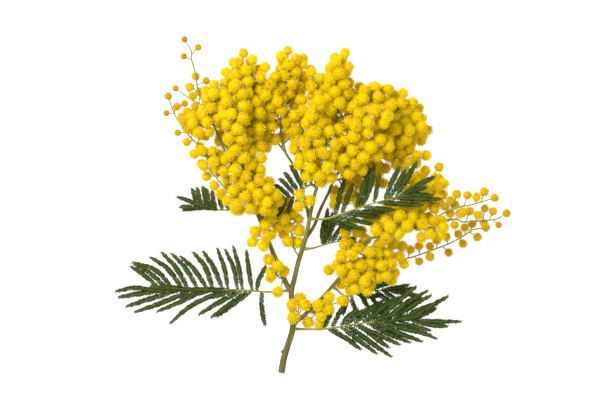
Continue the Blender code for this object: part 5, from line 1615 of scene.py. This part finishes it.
def make_rib(length):
    deselect()
    bpy.ops.mesh.primitive_cone_add(vertices=4, radius1=RIB_RADII[0], radius2=RIB_RADII[1], depth=length,
                                    location=(length / 2, 0, 0), rotation=(0, math.pi / 2, 0))
    made = bpy.context.object
    apply_place()
    bpy.ops.object.mode_set(mode="EDIT")
    for k in range(1, RIB_PARTS):
        bpy.ops.mesh.select_all(action="SELECT")
        bpy.ops.mesh.bisect(plane_co=(length * k / RIB_PARTS, 0, 0), plane_no=(1, 0, 0))
    bpy.ops.object.mode_set(mode="OBJECT")
    keep_value(made, "tone", RIB_TONE)
    return made


def place_leaflet(k, share, side, draw):
    """Leaflet k on one side of a straight pinna, at a share of its length."""
    slant = side * (SLANT * (1 - SLANT_LOSS * share ** 3) + either_way(draw, SLANT_SWAY))
    along = (k + FIRST_PAIR + PAIR_SHIFT * side) * PITCH
    place = Vector((along, side * LEAFLET_RISE, LEAFLET_RISE)) * MM
    turn = Matrix.Rotation(slant, 4, "Z") @ Matrix.Rotation(draw.uniform(*PITCHED), 4, "Y")
    turn = turn @ Matrix.Rotation(either_way(draw, ROLLED), 4, "X")
    size = 1 - FOOT_SHRINK * (1 - share) ** 6 - TIP_SHRINK * share ** 6
    size = Matrix.Scale(size * draw.uniform(*SIZE_SPREAD), 4)
    made = copy_to(leaflet, Matrix.Translation(place) @ turn @ size)
    # Paler at random, partly real and partly a painted highlight for glints, and paler when young near the
    # tip.
    tone = draw.uniform(0.0, LEAF_TONE_SPREAD) ** 2 * LEAF_TONE_GAIN + YOUNG_TONE * share ** 5
    keep_value(made, "tone", tone)
    return made


def make_pinna(pairs, draw):
    """A straight pinna along +X, of one pitch for each pair of leaflets."""
    length = pairs * PITCH * MM
    pieces = [make_rib(length)]
    for k in range(pairs):
        for side in (1, -1):
            pieces.append(place_leaflet(k, k / (pairs - 1), side, draw))
    last = copy_to(leaflet, Matrix.Translation((length - END_LEAFLET * LEAFLET[0] * MM, 0, 0)))
    keep_value(last, "tone", END_TONE)
    made = join(pieces + [last], f"pinna {pairs}")
    made.data.materials.append(leaf_material)
    return made


leaf_draw = random.Random(SEED + 4)
straight_pinnae = {pairs: make_pinna(pairs, leaf_draw) for pairs in PAIRS}
remove([leaflet])
print("Faces of the longest pinna:", len(straight_pinnae[PAIRS[-1]].data.polygons))

# %% [markdown]
# ## Bending a pinna
#
# A Curve modifier bends a straight pinna along its own line, much as a ribbon is laid along a wire. Each
# line is rolled a little about itself, because a real leaf is never flat.

# %% Bend the pinnae
BEND_POINTS = 16
PINNA_ROLL = 0.25


def bent_pinna(path, half_width, draw):
    """The straight pinna of about the right length, bent along a line."""
    fine = smooth_path(path, BEND_POINTS)
    length = path_length(fine)
    pairs = min(PAIRS, key=lambda count: abs(count * PITCH - length))
    line, curve, points = make_line("pinna line", fine)
    curve.twist_mode = "Z_UP"
    roll = either_way(draw, PINNA_ROLL)
    for point in points:
        point.tilt = roll
    wide = half_width / PINNA_HALF_WIDTH
    made = copy_to(straight_pinnae[pairs], Matrix.Diagonal((length / (pairs * PITCH), wide, wide, 1)))
    select_only([made])
    apply_place()
    bend = made.modifiers.new("bend", "CURVE")
    bend.object = line
    bend.deform_axis = "POS_X"
    bpy.ops.object.modifier_apply(modifier=bend.name)
    remove([line])
    return made


print("Lengths of pinna to choose from:", ", ".join(f"{pairs * PITCH:.0f} mm" for pairs in PAIRS))

# %% [markdown]
# ## Leaves
#
# A leaf is its rachis, a pale ribbed stalk, with all of its pinnae. The rachis swells where it joins the
# stem, at the joint by which the living leaf folds at night.

# %% Dress the leaves
RACHIS_RINGS = 60
RACHIS_TAPER = (0.85, 0.4)
RACHIS_WOOD = (0.3, 0.0)
JOINT_RISE = 0.55
JOINT_PLACE = 2.2
JOINT_SPREAD = 3


def make_rachis(name, rachis):
    foot = nearest_on(branches[FRONDS[name].carrier][0], rachis[0])
    whole = smooth_path(np.vstack([foot, rachis]), RACHIS_RINGS)
    along = np.linspace(0, path_length(whole), RACHIS_RINGS)
    joint = JOINT_RISE * np.exp(-(along - JOINT_PLACE) ** 2 / JOINT_SPREAD)
    radii = np.linspace(*RACHIS_TAPER, RACHIS_RINGS) + joint
    made = make_tube(f"rachis {name}", whole, radii, "twig", RACHIS_WOOD, stalk_material)
    keep_value(made, "tone", 0.0)
    return made


for name, (rachis, pinnae) in fronds.items():
    pieces = [make_rachis(name, rachis)]
    for path, half_width in pinnae:
        pieces.append(bent_pinna(path, half_width, leaf_draw))
    made = join(pieces, name.replace("frond", "leaf"))
    press_on_table(made)
    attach(made, "root")
    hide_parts(name)
    print(name, len(made.data.polygons), "faces")
remove(list(straight_pinnae.values()) + list(rings.values()))
